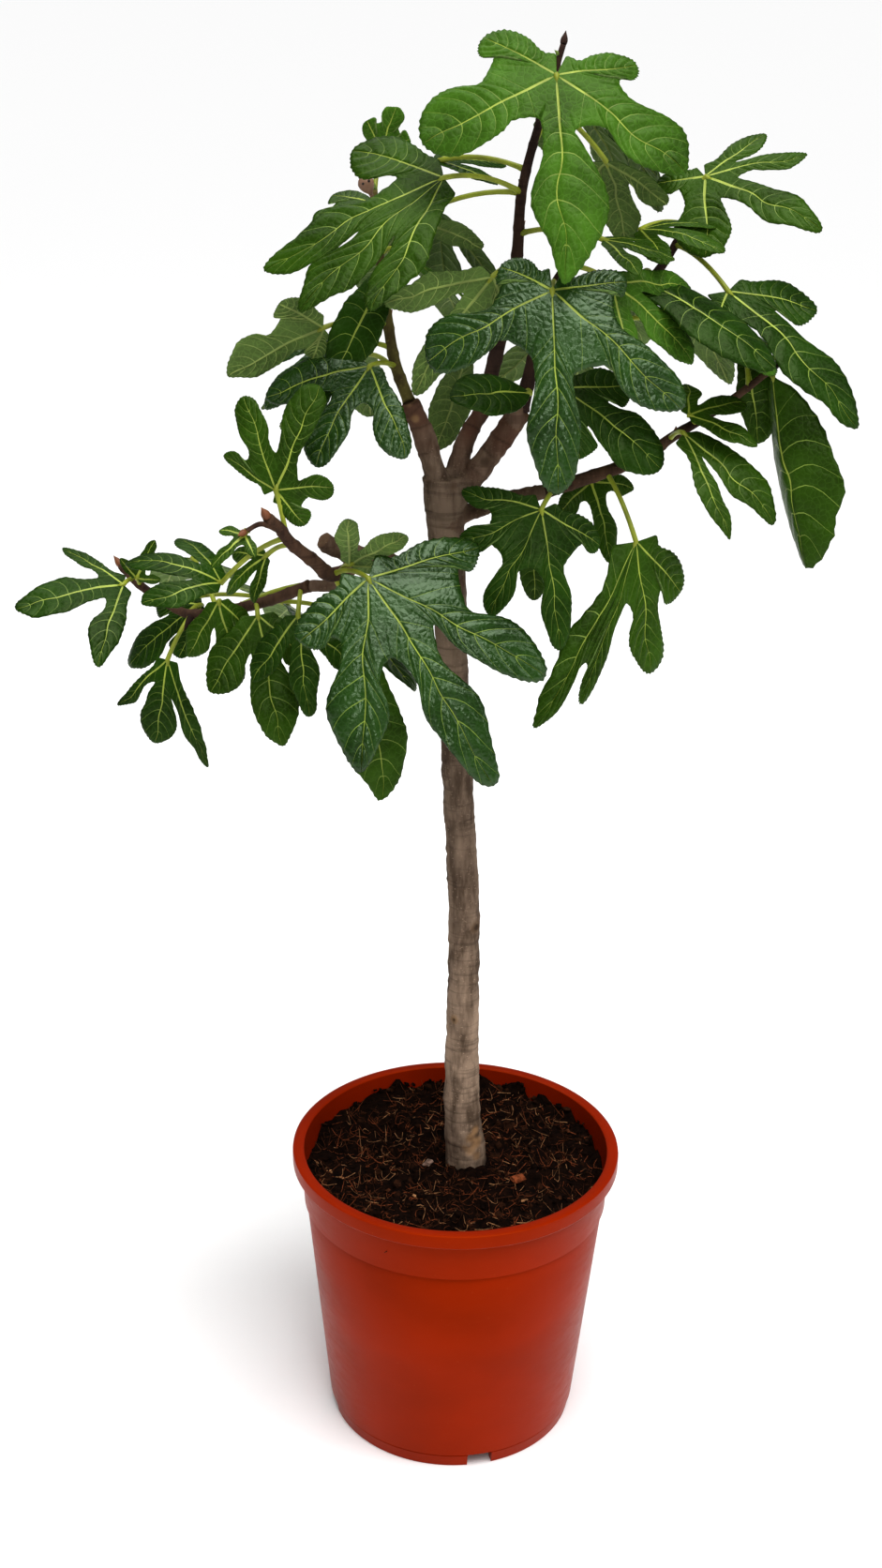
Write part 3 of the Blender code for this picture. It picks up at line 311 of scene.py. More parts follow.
# Forms drawn more closely for the fine leaves: lobes as (angle, length, half width on the lower side, half
# width on the higher side, how pointed), then each bay as (angle, how far out it starts)
FINE_FORMS = {
    "crown": (((-101, 0.385, 0.09, 0.08, 0), (-54, 0.75, 0.17, 0.11, 0), (-3, 0.99, 0.21, 0.13, 0.8),
               (63, 0.70, 0.15, 0.19, 0.2), (124, 0.39, 0.09, 0.10, 0)),
              ((-82, 0.30), (-16, 0.30), (19, 0.23), (98, 0.31))),
    "front": (((-96, 0.36, 0.08, 0.07, 0), (-47, 0.86, 0.13, 0.14, 0), (0, 1.00, 0.12, 0.14, 0),
               (66, 0.70, 0.15, 0.13, 0), (120, 0.28, 0.09, 0.09, 0)),
              ((-69, 0.33), (-13, 0.43), (21, 0.34), (81, 0.30))),
    "low front": (((-84, 0.51, 0.09, 0.09, 0), (-39, 0.87, 0.13, 0.10, 0), (-8, 1.04, 0.12, 0.105, 0),
                   (26, 0.85, 0.09, 0.15, 0.3), (72, 0.41, 0.10, 0.09, 0)),
                  ((-67, 0.39), (-29, 0.33), (7, 0.36), (47, 0.31))),
    "upright": (((-75, 0.55, 0.06, 0.08, 0.3), (-36, 0.86, 0.17, 0.12, 0), (5, 1.02, 0.20, 0.12, 0),
                 (68, 0.53, 0.12, 0.13, 0), (121, 0.40, 0.11, 0.10, 0)),
                ((-60, 0.38), (-17, 0.34), (46, 0.22), (94, 0.28))),
    "round": (((0, 1.00, 0.28, 0.15, 0.2),), ()),
    "blunt": (((0, 1.00, 0.34, 0.34, 0.3),), ()),
    "forked": (((0, 1.00, 0.21, 0.12, 0.2), (26, 0.93, 0.07, 0.09, 0.1)), ((14, 0.24),)),
    "deep": (((-49, 0.50, 0.12, 0.09, 0), (3, 1.00, 0.125, 0.095, 0), (38, 0.84, 0.08, 0.10, 0),
              (79, 0.60, 0.11, 0.09, 0.1), (117, 0.57, 0.09, 0.09, 0.1)),
             ((-25, 0.37), (21, 0.43), (54, 0.44), (99, 0.35))),
    "dark": (((-46, 0.90, 0.13, 0.20, 0), (6, 1.03, 0.16, 0.21, 0), (57, 1.00, 0.19, 0.23, 0.4)),
             ((-14, 0.37), (33, 0.42))),
    "folded": (((-76, 0.37, 0.10, 0.10, 0.2), (-37, 0.64, 0.11, 0.10, 0.3), (-8, 0.80, 0.05, 0.04, 0),
                (2, 1.00, 0.05, 0.08, 0)),
               ((-58, 0.27), (-16, 0.29), (-3, 0.60))),
    "pointed": (((-60, 0.50, 0.15, 0.14, 0), (-5, 0.98, 0.24, 0.16, 0.6), (45, 0.30, 0.10, 0.10, 0)),
                ((-38, 0.42), (24, 0.26))),
    "young": (((-48, 0.72, 0.22, 0.22, 0), (0, 1.00, 0.27, 0.27, 0), (48, 0.72, 0.22, 0.22, 0)),
              ((-25, 0.58), (25, 0.58))),
}
# Leaves that have a finer form of another name, by their place in LEAVES
FINE_NAMES = {
    ("foliage_left", 0): "young",
    ("foliage_left", 1): "young",
    ("foliage_left", 2): "pointed",
    ("foliage_front", 7): "blunt",
}
PLAIN_POINT = 0.35  # how pointed the other forms' lobes are

# Fine leaves: the rows and columns of each half lobe, its veins and its relief
SIDE_VEINS = (0.04, 0.17, 0.30, 0.43, 0.56, 0.69, 0.83)  # shares of the lobe's edge that side veins end at
ROWS_BETWEEN = 3
LEAST_GAP = 0.1  # between side veins, for all the rows
TEETH = (-0.8, 0.7, -0.8)
VEIN_TOOTH = 0.8
BASE_ROWS = (0.0, 0.3, 0.6)  # rows between the leaf's base and the lobe's own bay
COLUMNS = (0.0, 0.16, 0.34, 0.52, 0.70, 0.86, 1.0)  # beyond the main vein's edge
MAIN_VEIN = 0.0011  # half width at the base
MAIN_VEIN_TAPER = 0.75
MAIN_VEIN_MOST = 0.4  # of the blade's width there
MAIN_VEIN_SUNK = 0.003
SIDE_VEIN = 0.0040  # half width as a share of the edge
SIDE_VEIN_SUNK = 0.0015
VEIN_CURVE = 0.030  # how far side veins bow towards the tip, in a lobe of the usual half width
USUAL_HALF = 0.15
QUILT = 0.0080  # how high the blade stands between side veins, as a share of its length
TOOTH = 0.0040
UNEVEN_TEETH = (0.9, 9)  # by how much, and how finely
ROUGH_EDGE = (0.7, 22)
WANDER = 0.040  # how far an outline strays from its form
WANDER_FINENESS = 4.2
BROAD_WAVE = 0.017
BROAD_WAVE_FINENESS = 3.1
SMALL_WAVE = 0.0119
SMALL_WAVE_FINENESS = 8.3
LEAF_SEED = 7.3  # how far apart the noise of two leaves lies
MASS_SEED = 3.1
BLADE_THICKNESS = 0.0005
VEIN_DEPTH = 0.0009
# Which green each leaf is, in the order of LEAVES. The rule-grown leaves are dealt theirs.
GREENS = {
    "foliage_top": ("fresh", "mid", "mid", "mid", "mid", "mid", "mid", "deep"),
    "foliage_left": ("fresh", "mid", "mid", "deep", "blue", "blue"),
    "foliage_front": ("blue", "fresh", "mid", "deep", "mid", "deep", "deep", "deep"),
    "foliage_right": ("deep", "mid", "mid", "mid", "mid", "mid", "mid", "mid"),
    "foliage_near_left": ("blue", "deep", "mid", "deep", "mid", "mid", "mid"),
    "foliage_far_left": ("deep", "mid", "mid", "deep", "deep", "mid", "deep"),
}
GREEN_NAMES = ("fresh", "mid", "deep", "blue")

# Bark: marks as (place, size, height, dark, tan), and the rings round each limb as shares of its length
MARKS = (
    ((0.0150, -0.010, 0.5025), 0.0060, 0.0016, 0.5, 0.5),
    ((0.0150, -0.010, 0.5025), 0.0026, -0.0012, 1.0, 0.0),
    ((-0.004, -0.013, 0.4117), 0.0040, 0.0014, 0.4, 0.8),
    ((-0.004, -0.013, 0.4117), 0.0016, -0.0006, 1.0, 0.0),
    ((-0.016, 0.000, 0.5689), 0.0045, -0.0016, 0.8, 0.2),
    ((-0.015, -0.003, 0.5740), 0.0040, 0.0012, 0.2, 0.2),
    ((0.0120, -0.010, 0.6216), 0.0050, 0.0013, 0.3, 0.3),
    ((0.0190, -0.013, 0.2970), 0.0048, -0.0007, 0.1, 1.0),
    ((0.0150, -0.016, 0.2900), 0.0060, -0.0008, 0.0, 1.0),
    ((0.0210, -0.011, 0.2830), 0.0062, -0.0009, 0.0, 1.0),
    ((0.0150, -0.016, 0.2760), 0.0058, -0.0007, 0.0, 0.9),
    ((0.0080, -0.018, 0.2800), 0.0045, 0.0005, 0.1, 0.8),
    ((0.0205, -0.012, 0.2690), 0.0045, -0.0005, 0.3, 0.8),
    ((0.0120, -0.018, 0.2700), 0.0022, -0.0007, 1.0, 0.0),
    ((0.0180, -0.014, 0.2835), 0.0019, -0.0007, 1.0, 0.0),
    ((0.0115, -0.018, 0.2935), 0.0019, -0.0006, 0.9, 0.0),
    ((-0.0303, -0.017, 0.9130), 0.0060, 0.0016, 0.3, 0.2),
    ((-0.0100, -0.019, 0.9000), 0.0055, 0.0018, 0.3, 0.3),
    ((-0.0499, -0.014, 0.9672), 0.0032, 0.0006, 0.0, 1.0),
    ((-0.0438, -0.014, 0.9545), 0.0034, 0.0006, 0.0, 1.0),
    ((0.0042, -0.003, 0.9488), 0.0034, 0.0006, 0.0, 1.0),
    ((0.0401, -0.013, 0.9440), 0.0040, 0.0008, 0.0, 0.9),
    ((0.0441, -0.012, 0.9380), 0.0040, 0.0008, 0.3, 0.7),
    ((0.0130, -0.013, 0.9200), 0.0045, 0.0009, 0.4, 0.3),
)
RINGS = {
    "trunk": (0.13, 0.22, 0.31, 0.37, 0.46, 0.545, 0.63, 0.70, 0.76, 0.83, 0.90, 0.96),
    "bough_cut_left": (0.45, 0.72, 0.90),
    "bough_middle": (0.5, 0.75),
    "bough_cut_right": (0.38, 0.55, 0.70, 0.88),
    "bough_right": (0.4, 0.7, 0.9),
    "bough_left": (0.3, 0.45, 0.62, 0.8, 0.93),
    "bough_far_left": (0.35, 0.55, 0.75, 0.9),
}
RING_WIDTH = 0.0016
RING_HEIGHT = 0.0005
RING_WANDER = 0.0022
RING_DARKNESS = 0.30
# The bark's relief: height and fineness of each noise
RELIEF = ((0.0012, (55, 55, 55)), (0.0007, (160, 160, 160)), (0.00035, (420, 420, 90)))
CUT_LIMBS = ("bough_cut_left", "bough_middle", "bough_cut_right")  # reddish towards their cut ends
LONG_LIMBS = ("bough_left", "bough_far_left", "arm", "bough_right")  # a little reddish all along
PAINTED_SHADE_FROM = 0.36  # height from which the trunk is painted darker upwards, a painted shade under the leaves
PAINTED_SHADE_OVER = 0.24
PAINTED_SHADE_MOST = 0.55
DAMP_LINE = 0.262  # the trunk's foot is dark below it
DAMP_OVER = 0.010
BARK_STEPS = 9  # between two of the trunk's given points
BOUGH_STEPS = 12
LIMB_SAMPLES = 8
VOXEL = 0.0014
FOOT_WIDTHS = (0.0390, 0.0362)  # the trunk flares less than its solid
# The pointed stub on the cut right bough
SPIKE = ((0.0370, -0.006, 0.9540), (0.0360, -0.010, 0.9660), (0.0350, -0.012, 0.9770))
SPIKE_WIDTHS = (0.0150, 0.0105, 0.0045)
TRUNK_FOOT = 0.010  # how far the trunk reaches into the uneven compost
TRUNK_FOOT_WIDER = 1.04
TRUNK_SIDES = 36
BOUGH_SIDES = 24

# Shoots: which of the bark colours each has, and how far apart its joints are
SHOOT_COLOURS = {"leader": 2, "left shoot": 3, "front shoot": 2, "back shoot": 2, "right shoot": 1,
                 "near shoot": 1, "arched twig": 1, "far shoot": 1}
JOINT_SPACING = 0.021
JOINT_SWELL = 0.13
JOINT_REACH = 0.0022
SHOOT_STEPS = 16
SHOOT_SIDES = 16
STALK_STEPS = 9
STALK_SIDES = 12
BUD_STEPS = 6
BUD_SIDES = 12
BUD_TIP = 0.05  # thickness there as a share of the widest
# Buds: shoot, share along it, heading, climb, length, thickness, colour
BUDS = (
    ("leader", 1.0, 60, 70, 0.010, 0.0052, 2), ("leader", 0.97, 200, 40, 0.006, 0.0035, 4),
    ("leader", 0.93, 20, 35, 0.006, 0.0035, 4), ("leader", 0.50, 10, 55, 0.009, 0.0055, 5),
    ("leader", 0.62, 190, 50, 0.006, 0.0045, 2), ("left shoot", 0.42, 20, 50, 0.007, 0.0050, 5),
    ("left shoot", 1.0, 120, 60, 0.010, 0.0055, 4), ("left shoot", 0.66, 200, 45, 0.005, 0.0040, 4),
    ("front shoot", 1.0, 20, 40, 0.016, 0.0068, 5), ("front shoot", 0.55, 160, 40, 0.005, 0.0040, 2),
    ("back shoot", 1.0, 80, 75, 0.014, 0.0072, 2), ("back shoot", 0.6, 200, 50, 0.006, 0.0045, 5),
    ("right shoot", 1.0, 30, 45, 0.012, 0.0062, 2), ("right shoot", 0.55, 100, 60, 0.007, 0.0050, 5),
    ("right shoot", 0.30, 250, 50, 0.006, 0.0045, 2), ("near shoot", 1.0, 210, 60, 0.010, 0.0070, 5),
    ("near shoot", 0.55, 170, 60, 0.007, 0.0055, 5), ("near shoot", 0.30, 60, 50, 0.006, 0.0050, 1),
    ("far shoot", 1.0, 160, 50, 0.011, 0.0062, 5), ("far shoot", 0.60, 250, -30, 0.020, 0.0058, 2),
    ("far shoot", 0.35, 90, 50, 0.006, 0.0045, 5), ("far shoot", 0.80, 60, 60, 0.006, 0.0045, 2),
    ("arched twig", 1.0, 230, -10, 0.008, 0.0050, 5),
)
FIG_SHARE = 0.95
FIG_WAY = (-120, 50)
FIG_STALK = 0.010
FIG_STALK_WIDTHS = (0.0032, 0.0030)
FIG_SIDES = 24
FIG_SLOT = 6
SPOT_SLOT = 7
SPOT_SIZE = 0.0011
SPOTS_ALONG = 0.6
SPOTS_TURNS = (-0.0022, 0.0024)
FIG_LENGTH = 0.016
FIG_THICKNESS = 0.013
# The fig's outline: places along it, each with its width as a share of the widest
FIG_PROFILE = (
    (0.00, 0.30), (0.12, 0.50), (0.30, 0.76), (0.50, 0.95),
    (0.68, 1.00), (0.84, 0.84), (0.94, 0.55), (1.00, 0.22),
)

# Camera and lights
CAMERA_PLACE = (-0.0187, -1.7249, 1.3560)
CAMERA_PITCH = 67.296
CAMERA_ROLL = 0.908
CAMERA_LENS = 50
VIEW_GAMMA = 0.88
FLOOR_REACH = 80
FLOOR_COLOUR = (0.97, 0.97, 0.97)
SKY_STRENGTH = 0.17
LIGHTS_AIM = Vector((0, 0, 0.8))
SUN_PLACE = (-1, -1, 4)
SUN_WAY = (-0.16, 0.34, -1.0)
SUN_SPREAD = 46
SUN_STRENGTH = 2.95
LIGHTS = (
    ("left", (-2.0, -0.9, 2.6), (0.7, 0.9), 4),
    ("front", (0.30, -2.50, 2.05), (0.9, 0.6), 15),
    ("right", (2.2, -0.8, 2.0), (0.8, 1.4), 12),
    ("top", (-0.5, 0.9, 3.2), (2.2, 2.0), 30),
)


def mesh_of(name, form):
    """The finished form as a mesh."""
    mesh = bpy.data.meshes.new(name)
    form.to_mesh(mesh)
    form.free()
    return mesh


def placed(name, data):
    """An object in the scene for this data."""
    obj = bpy.data.objects.new(name, data)
    bpy.context.scene.collection.objects.link(obj)
    return obj


def add_to(form, part):
    """Moves a small form into a larger one."""
    mesh = mesh_of("part", part)
    form.from_mesh(mesh)
    bpy.data.meshes.remove(mesh)


def painted(form, slot, smooth=False):
    """Gives every face of the form one material slot."""
    for face in form.faces:
        face.material_index = slot
        face.smooth = smooth


def bearing(heading, climb):
    """The unit vector with this heading and climb in degrees."""
    turn, lift = math.radians(heading), math.radians(climb)
    return Vector((math.cos(turn) * math.cos(lift), math.sin(turn) * math.cos(lift), math.sin(lift)))


def between(before, start, end, after, t):
    """The point at the share t of a smooth curve's stretch from start to end."""
    slope = (end - before) * t
    bend = (2 * before - 5 * start + 4 * end - after) * t * t
    twist = (3 * start - before - 3 * end + after) * t ** 3
    return start + (slope + bend + twist) / 2


def through(points, steps):
    """Points along a smooth curve through the given ones, with this many steps between neighbours."""
    ends = [2 * points[0] - points[1], *points, 2 * points[-1] - points[-2]]
    line = []
    for four in zip(ends, ends[1:], ends[2:], ends[3:]):
        line += [between(*four, step / steps) for step in range(steps)]
    return [*line, points[-1].copy()]


class Route:
    """A smooth line with a thickness that tapers evenly between its ends."""

    def __init__(self, points, thick_start, thick_end, steps=2):
        self.points = through([Vector(point) for point in points], steps)
        self.thick_start, self.thick_end = thick_start, thick_end
        self.marks = [0.0]
        for a, b in zip(self.points, self.points[1:]):
            self.marks.append(self.marks[-1] + (b - a).length)
        self.length = self.marks[-1]

    def at(self, distance):
        """The point this far along."""
        distance = min(max(distance, 0.0), self.length)
        for a, b, low, high in zip(self.points, self.points[1:], self.marks, self.marks[1:]):
            if distance <= high:
                return a.lerp(b, (distance - low) / (high - low))
        return self.points[-1].copy()

    def direction(self, distance):
        """The way the line runs at this distance."""
        step = 0.002
        return (self.at(distance + step) - self.at(distance - step)).normalized()

    def thickness(self, distance):
        """How thick the line is at this distance."""
        return self.thick_start + (self.thick_end - self.thick_start) * distance / self.length

    def stretch(self, low, high):
        """(points, thicknesses) of the part between two distances."""
        inside = [mark for mark in self.marks if low + 0.002 < mark < high - 0.002]
        stops = [low, *inside, high]
        return [self.at(stop) for stop in stops], [self.thickness(stop) for stop in stops]


def tube_mesh(name, points, thicknesses, profile):
    """A closed round tube through the points, as a mesh."""
    curve = bpy.data.curves.new(name, "CURVE")
    curve.dimensions = "3D"
    curve.bevel_depth = 1.0
    curve.bevel_resolution = profile
    curve.use_fill_caps = True
    spline = curve.splines.new("POLY")
    spline.points.add(len(points) - 1)
    for spot, point, thickness in zip(spline.points, points, thicknesses):
        spot.co = (*point, 1)
        spot.radius = thickness / 2
    holder = placed(name, curve)
    bpy.context.view_layer.update()
    mesh = bpy.data.meshes.new_from_object(holder.evaluated_get(bpy.context.evaluated_depsgraph_get()))
    bpy.data.objects.remove(holder)
    bpy.data.curves.remove(curve)
    form = bmesh.new()
    form.from_mesh(mesh)
    bmesh.ops.remove_doubles(form, verts=form.verts, dist=0.00002)
    bmesh.ops.recalc_face_normals(form, faces=form.faces)
    form.to_mesh(mesh)
    form.free()
    mesh.name = name
    return mesh


def wall_radius(height):
    """Radius of the pot's outer wall at a height, without its step."""
    share = height / (POT_HEIGHT - LIP_HEIGHT)
    return WALL_BASE_RADIUS + (WALL_TOP_RADIUS - WALL_BASE_RADIUS) * share


def limb_end(name):
    """The last two points of the limb that a stem grows on from."""
    if name == "bough_left":
        return [Vector(point) for point in LEFT_ARM]
    points, thick_start, thick_end, _ = BOUGHS[name]
    return Route(points, thick_start, thick_end).points[-2:]


def stem_line(route, limb):
    """(points, thicknesses) of a stem that leaves its limb straight on, with a gap."""
    before, end = limb_end(limb)
    way = (end - before).normalized()
    points, widths = route.stretch(3 * STEM_COLLAR, route.length)
    collar = [end + way * GAP, end + way * STEM_COLLAR]
    return [*collar, *points], [route.thick_start, route.thick_start, *widths]


def clock(turn):
    """The flat unit vector at this angle in degrees from the middle lobe."""
    return Vector((math.sin(math.radians(turn)), math.cos(math.radians(turn))))


def margin_points(lobe, bay, side, edge):
    """The turning points of a lobe's edge on one side, from the bay beside it out to its tip."""
    angle, length, low_half, high_half, point = lobe
    half = high_half if side > 0 else low_half
    out = clock(angle)
    across = side * clock(angle + 90)
    start = max(bay.dot(out), 0)
    turns = [bay]
    for place, width in edge:
        narrow = 1 - point * max(place - POINTED_FROM, 0) * POINTED_BY
        turns.append(out * (start + place * (length - start)) + across * half * width * narrow)
    return [*turns, out * length]


def bay_between(left, right):
    """Where the bay between two neighbouring lobes starts."""
    half_turn = math.radians(right[0] - left[0]) / 2
    crossing = (left[2] + right[2]) / 2 * NECK / math.sin(half_turn)
    out = min(max(BAY_LEAST, BAY * crossing), BAY_MOST * min(left[1], right[1]))
    return clock((left[0] + right[0]) / 2) * out


def plain_form(form_name, point):
    """(lobes, bays) of a form whose lobes are alike on both sides."""
    lobes = FORMS[form_name]
    bays = [bay_between(left, right) for left, right in zip(lobes, lobes[1:])]
    return [(angle, length, half, half, point) for angle, length, half in lobes], bays


def lobe_halves(lobes, bays, edge):
    """For each half of each lobe: its side, its lobe, its edge's turning points and the point before them."""
    corners = [clock(lobes[0][0] - HEEL_TURN) * HEEL_OUT, *bays, clock(lobes[-1][0] + HEEL_TURN) * HEEL_OUT]
    halves = []
    for index, lobe in enumerate(lobes):
        for side in (-1, 1):
            corner = corners[index + (side > 0)]
            beyond = index + side
            lead = Vector((0, 0))
            if 0 <= beyond < len(lobes):
                lead = margin_points(lobes[beyond], corner, -side, edge)[1]
            halves.append((side, lobe[:3], margin_points(lobe, corner, side, edge), lead))
    return halves


def mirrored(spot, line):
    """A flat point on the other side of a line through the leaf's base."""
    return 2 * line * spot.dot(line) / line.dot(line) - spot


def vein_spot(tip, share):
    """The place on a lobe's main vein that goes with this share of its edge."""
    return tip * (VEIN_START + (1 - VEIN_START) * share ** VEIN_SPREAD)


def margin_at(turns, lead, other_side, share):
    """A point on a lobe's smooth edge, from its bay at 0 to its tip at 1."""
    line = [lead, *turns, other_side]
    place = share * (len(turns) - 1)
    index = min(int(place), len(turns) - 2)
    return between(*line[index:index + 4], place - index)


class Blade:
    """Where a leaf's flat outline lies once it is bent and set on its stalk."""

    def __init__(self, base, pose, roll, droop, fold):
        heading, climb, length = pose
        along = bearing(heading, climb)
        up = (Vector((0, 0, 1)) - along * along.z).normalized()
        side = along.cross(up)
        turn = math.radians(roll)
        face = up * math.cos(turn) + side * math.sin(turn)
        half_droop = math.radians(max(droop, 1)) / 2
        self.base = base
        self.side = along.cross(face)
        self.along = along * math.cos(half_droop) + face * math.sin(half_droop)
        self.face = face * math.cos(half_droop) - along * math.sin(half_droop)
        self.size = length * half_droop / math.sin(half_droop)
        self.curl = 2 * half_droop / self.size
        self.fold = math.radians(fold)

    def place(self, spot):
        """The point in space for a flat point given in shares of the blade's length."""
        x, y = spot.x * self.size, spot.y * self.size
        sunk = -math.sin(self.fold) * (math.hypot(x, 0.004) - 0.004)
        x *= math.cos(self.fold)
        out = math.hypot(x, y)
        if out > 1e-9:
            flat = math.sin(self.curl * out) / (self.curl * out)
            sunk -= (1 - math.cos(self.curl * out)) / self.curl
            x, y = x * flat, y * flat
        return self.base + self.side * x + self.along * y + self.face * sunk


def blade_mesh(name, blade, form_name):
    """A leaf blade of a few faces, with its thickness."""
    form = bmesh.new()
    made = {}

    def vert(spot):
        """The corner at this flat point, made once."""
        key = (round(spot.x, 5), round(spot.y, 5))
        if key not in made:
            made[key] = form.verts.new(blade.place(spot))
        return made[key]

    for side, (angle, length, _), turns, lead in lobe_halves(*plain_form(form_name, 0), PLAIN_EDGE):
        tip = clock(angle) * length
        over_vein = mirrored(turns[-2], tip)
        vein = [vein_spot(tip, share) for share in EDGE_SHARES]
        edge = [margin_at(turns, lead, over_vein, share) for share in EDGE_SHARES]
        faces = [
            (Vector((0, 0)), vein[0], edge[0]),
            (vein[0], vein[1], edge[1], edge[0]),
            (vein[1], vein[2], edge[2], edge[1]),
            (vein[2], tip, edge[2]),
        ]
        for corners in faces:
            ring = [vert(corner) for corner in corners]
            form.faces.new(ring[::-1] if side > 0 else ring)
    bmesh.ops.triangulate(form, faces=form.faces)
    form.normal_update()
    normals = {spot: spot.normal.copy() for spot in form.verts}
    tops = list(form.faces)
    grown = bmesh.ops.extrude_face_region(form, geom=tops, use_keep_orig=True)["geom"]
    for spot in grown:
        if isinstance(spot, bmesh.types.BMVert):
            nearest = min(normals, key=lambda other: (other.co - spot.co).length_squared)
            spot.co -= normals[nearest] * LEAF_THICKNESS
    bmesh.ops.recalc_face_normals(form, faces=form.faces)
    return mesh_of(name, form)


def tree_of(mesh):
    """What touch tests need of a mesh."""
    form = bmesh.new()
    form.from_mesh(mesh)
    tree = BVHTree.FromBMesh(form)
    form.free()
    return tree


def stalk_point(start, blade, share):
    """A point along a leaf's stalk, which rises from its shoot and bends over into the blade."""
    bow = (start + blade.base) / 2 + Vector((0, 0, STALK_RISE)) * (blade.base - start).length
    return start * (1 - share) ** 2 + bow * 2 * share * (1 - share) + blade.base * share * share


def stalk_mesh(name, start, blade):
    """A leaf's stalk as its solid has it."""
    end = blade.base + blade.along * STALK_ROOT - blade.face * LEAF_THICKNESS / 2
    widths = [STALK_THICKNESS * share for share in STALK_TAPER]
    steps = len(widths) - 2
    line = [stalk_point(start, blade, step / steps) for step in range(steps + 1)]
    return tube_mesh(name, [*line, end], widths, STALK_PROFILE)


class Crown:
    """The leaves of the six masses, chosen and placed by the same tests as their solids."""

    def __init__(self):
        self.solids = []
        self.shoots = {}
        self.blades = []
        self.leaves = {name: [] for name in SHOOTS}
        for points, thick_start, thick_end, collar in BOUGHS.values():
            route = Route(points, thick_start, thick_end)
            self.add_solid("limb", *route.stretch(0, collar), BOUGH_PROFILE)
            self.add_solid("limb", *route.stretch(collar + GAP, route.length), BOUGH_PROFILE)
        arm = Route(LEFT_ARM, LEFT_ARM_THICKNESS, LEFT_ARM_THICKNESS)
        self.add_solid("limb", *arm.stretch(0, arm.length), BOUGH_PROFILE)
        self.add_solid("limb", *trunk_line(), TRUNK_PROFILE)
        for mass, shoots in SHOOTS.items():
            stem = True
            for name, (points, thick_start, thick_end) in shoots.items():
                route = Route(points, thick_start, thick_end)
                self.shoots[name] = route
                line = stem_line(route, GROWS_FROM[mass]) if stem else route.stretch(0, route.length)
                self.add_solid(mass, *line, SHOOT_PROFILE)
                stem = False

    def add_solid(self, owner, points, thicknesses, profile):
        """Notes a tube of a limb or mass for the touch tests."""
        self.solids.append((owner, tree_of(tube_mesh(owner, points, thicknesses, profile))))

    def touches(self, mass, meshes, own=False):
        """Whether these meshes touch a limb or mass, their own mass left out."""
        trees = [tree_of(mesh) for mesh in meshes]
        for name, tree in self.solids + self.blades:
            if (name != mass or own) and any(tree.overlap(other) for other in trees):
                return True
        return False

    def leaf(self, row):
        """(start, blade, stalk mesh, blade mesh) of one leaf."""
        shoot, share, stalk, pose, roll, form_name, droop, fold = row
        route = self.shoots[shoot]
        start = route.at(share * route.length)
        base = start + bearing(stalk[0], stalk[1]) * stalk[2]
        blade = Blade(base, pose, roll, droop, fold)
        return start, blade, stalk_mesh("stalk", start, blade), blade_mesh("blade", blade, form_name)

    def keep(self, mass, row, made, green):
        """Adds a leaf to its mass."""
        start, blade, stalk, coarse = made
        self.blades += [(mass, tree_of(stalk)), (mass, tree_of(coarse))]
        form_name = FINE_NAMES.get((mass, len(self.leaves[mass])), row[5])
        self.leaves[mass].append((start, blade, form_name, green))

    def shows(self, mesh):
        """The share of a mesh that the viewer sees beside the leaves that are there already."""
        seen = 0
        for vert in mesh.vertices:
            way = VIEWER - vert.co
            start = vert.co + way.normalized() * 2 * LEAF_THICKNESS
            hidden = any(tree.ray_cast(start, way)[0] for _, tree in self.blades)
            seen += not hidden
        return seen / len(mesh.vertices)

    def fill(self, rng):
        """Grows leaves at the back and sides by rule, and skips each that would touch or stand in a gap."""
        for mass, wanted in FILL_LEAVES.items():
            shoots = list(SHOOTS[mass])
            grown = 0
            heading = rng.uniform(0, 360)
            for _ in range(FILL_TRIES):
                heading = (heading + SPIRAL + rng.uniform(-20, 20)) % 360
                shoot, share = rng.choice(shoots), rng.uniform(*FILL_SHARES)
                stalk = (heading, rng.uniform(*FILL_STALK_CLIMBS), rng.uniform(*FILL_STALK_LENGTHS))
                turn = rng.uniform(*FILL_TURNS)
                pose = (heading + turn, rng.uniform(*FILL_CLIMBS), rng.uniform(*FILL_LENGTHS))
                roll, form_name = rng.uniform(*FILL_ROLLS), rng.choice(FILL_FORMS)
                droop, fold = rng.uniform(*FILL_DROOPS), rng.uniform(*FILL_FOLDS)
                row = (shoot, share, stalk, pose, roll, form_name, droop, fold)
                if grown == wanted:
                    continue
                made = self.leaf(row)
                if self.has_room(mass, *made[2:]):
                    self.keep(mass, row, made, GREEN_NAMES[grown % len(GREEN_NAMES)])
                    grown += 1

    def has_room(self, mass, stalk, blade):
        """Whether a rule-grown leaf is within reach, out of the viewer's gaps and clear of all others."""
        for vert in blade.vertices:
            if any(not low < place < high for low, place, high in zip(REACH_LOW, vert.co, REACH_HIGH)):
                return False
        if self.shows(blade) >= MOST_IN_VIEW:
            return False
        return not self.touches(mass, [blade], own=True) and not self.touches(mass, [stalk])


def trunk_line():
    """(points, thicknesses) of the trunk's solid."""
    points = [Vector(point) + Vector((0, 0, COMPOST_TOP + GAP)) for point, _ in TRUNK]
    line = through(points, 2)
    widths = [width for _, width in TRUNK]
    taper = []
    for a, b in zip(widths, widths[1:]):
        taper += [a, (a + b) / 2]
    line[1].x, line[1].y = line[0].x, line[0].y
    return line, [*taper, widths[-1]]


# Materials

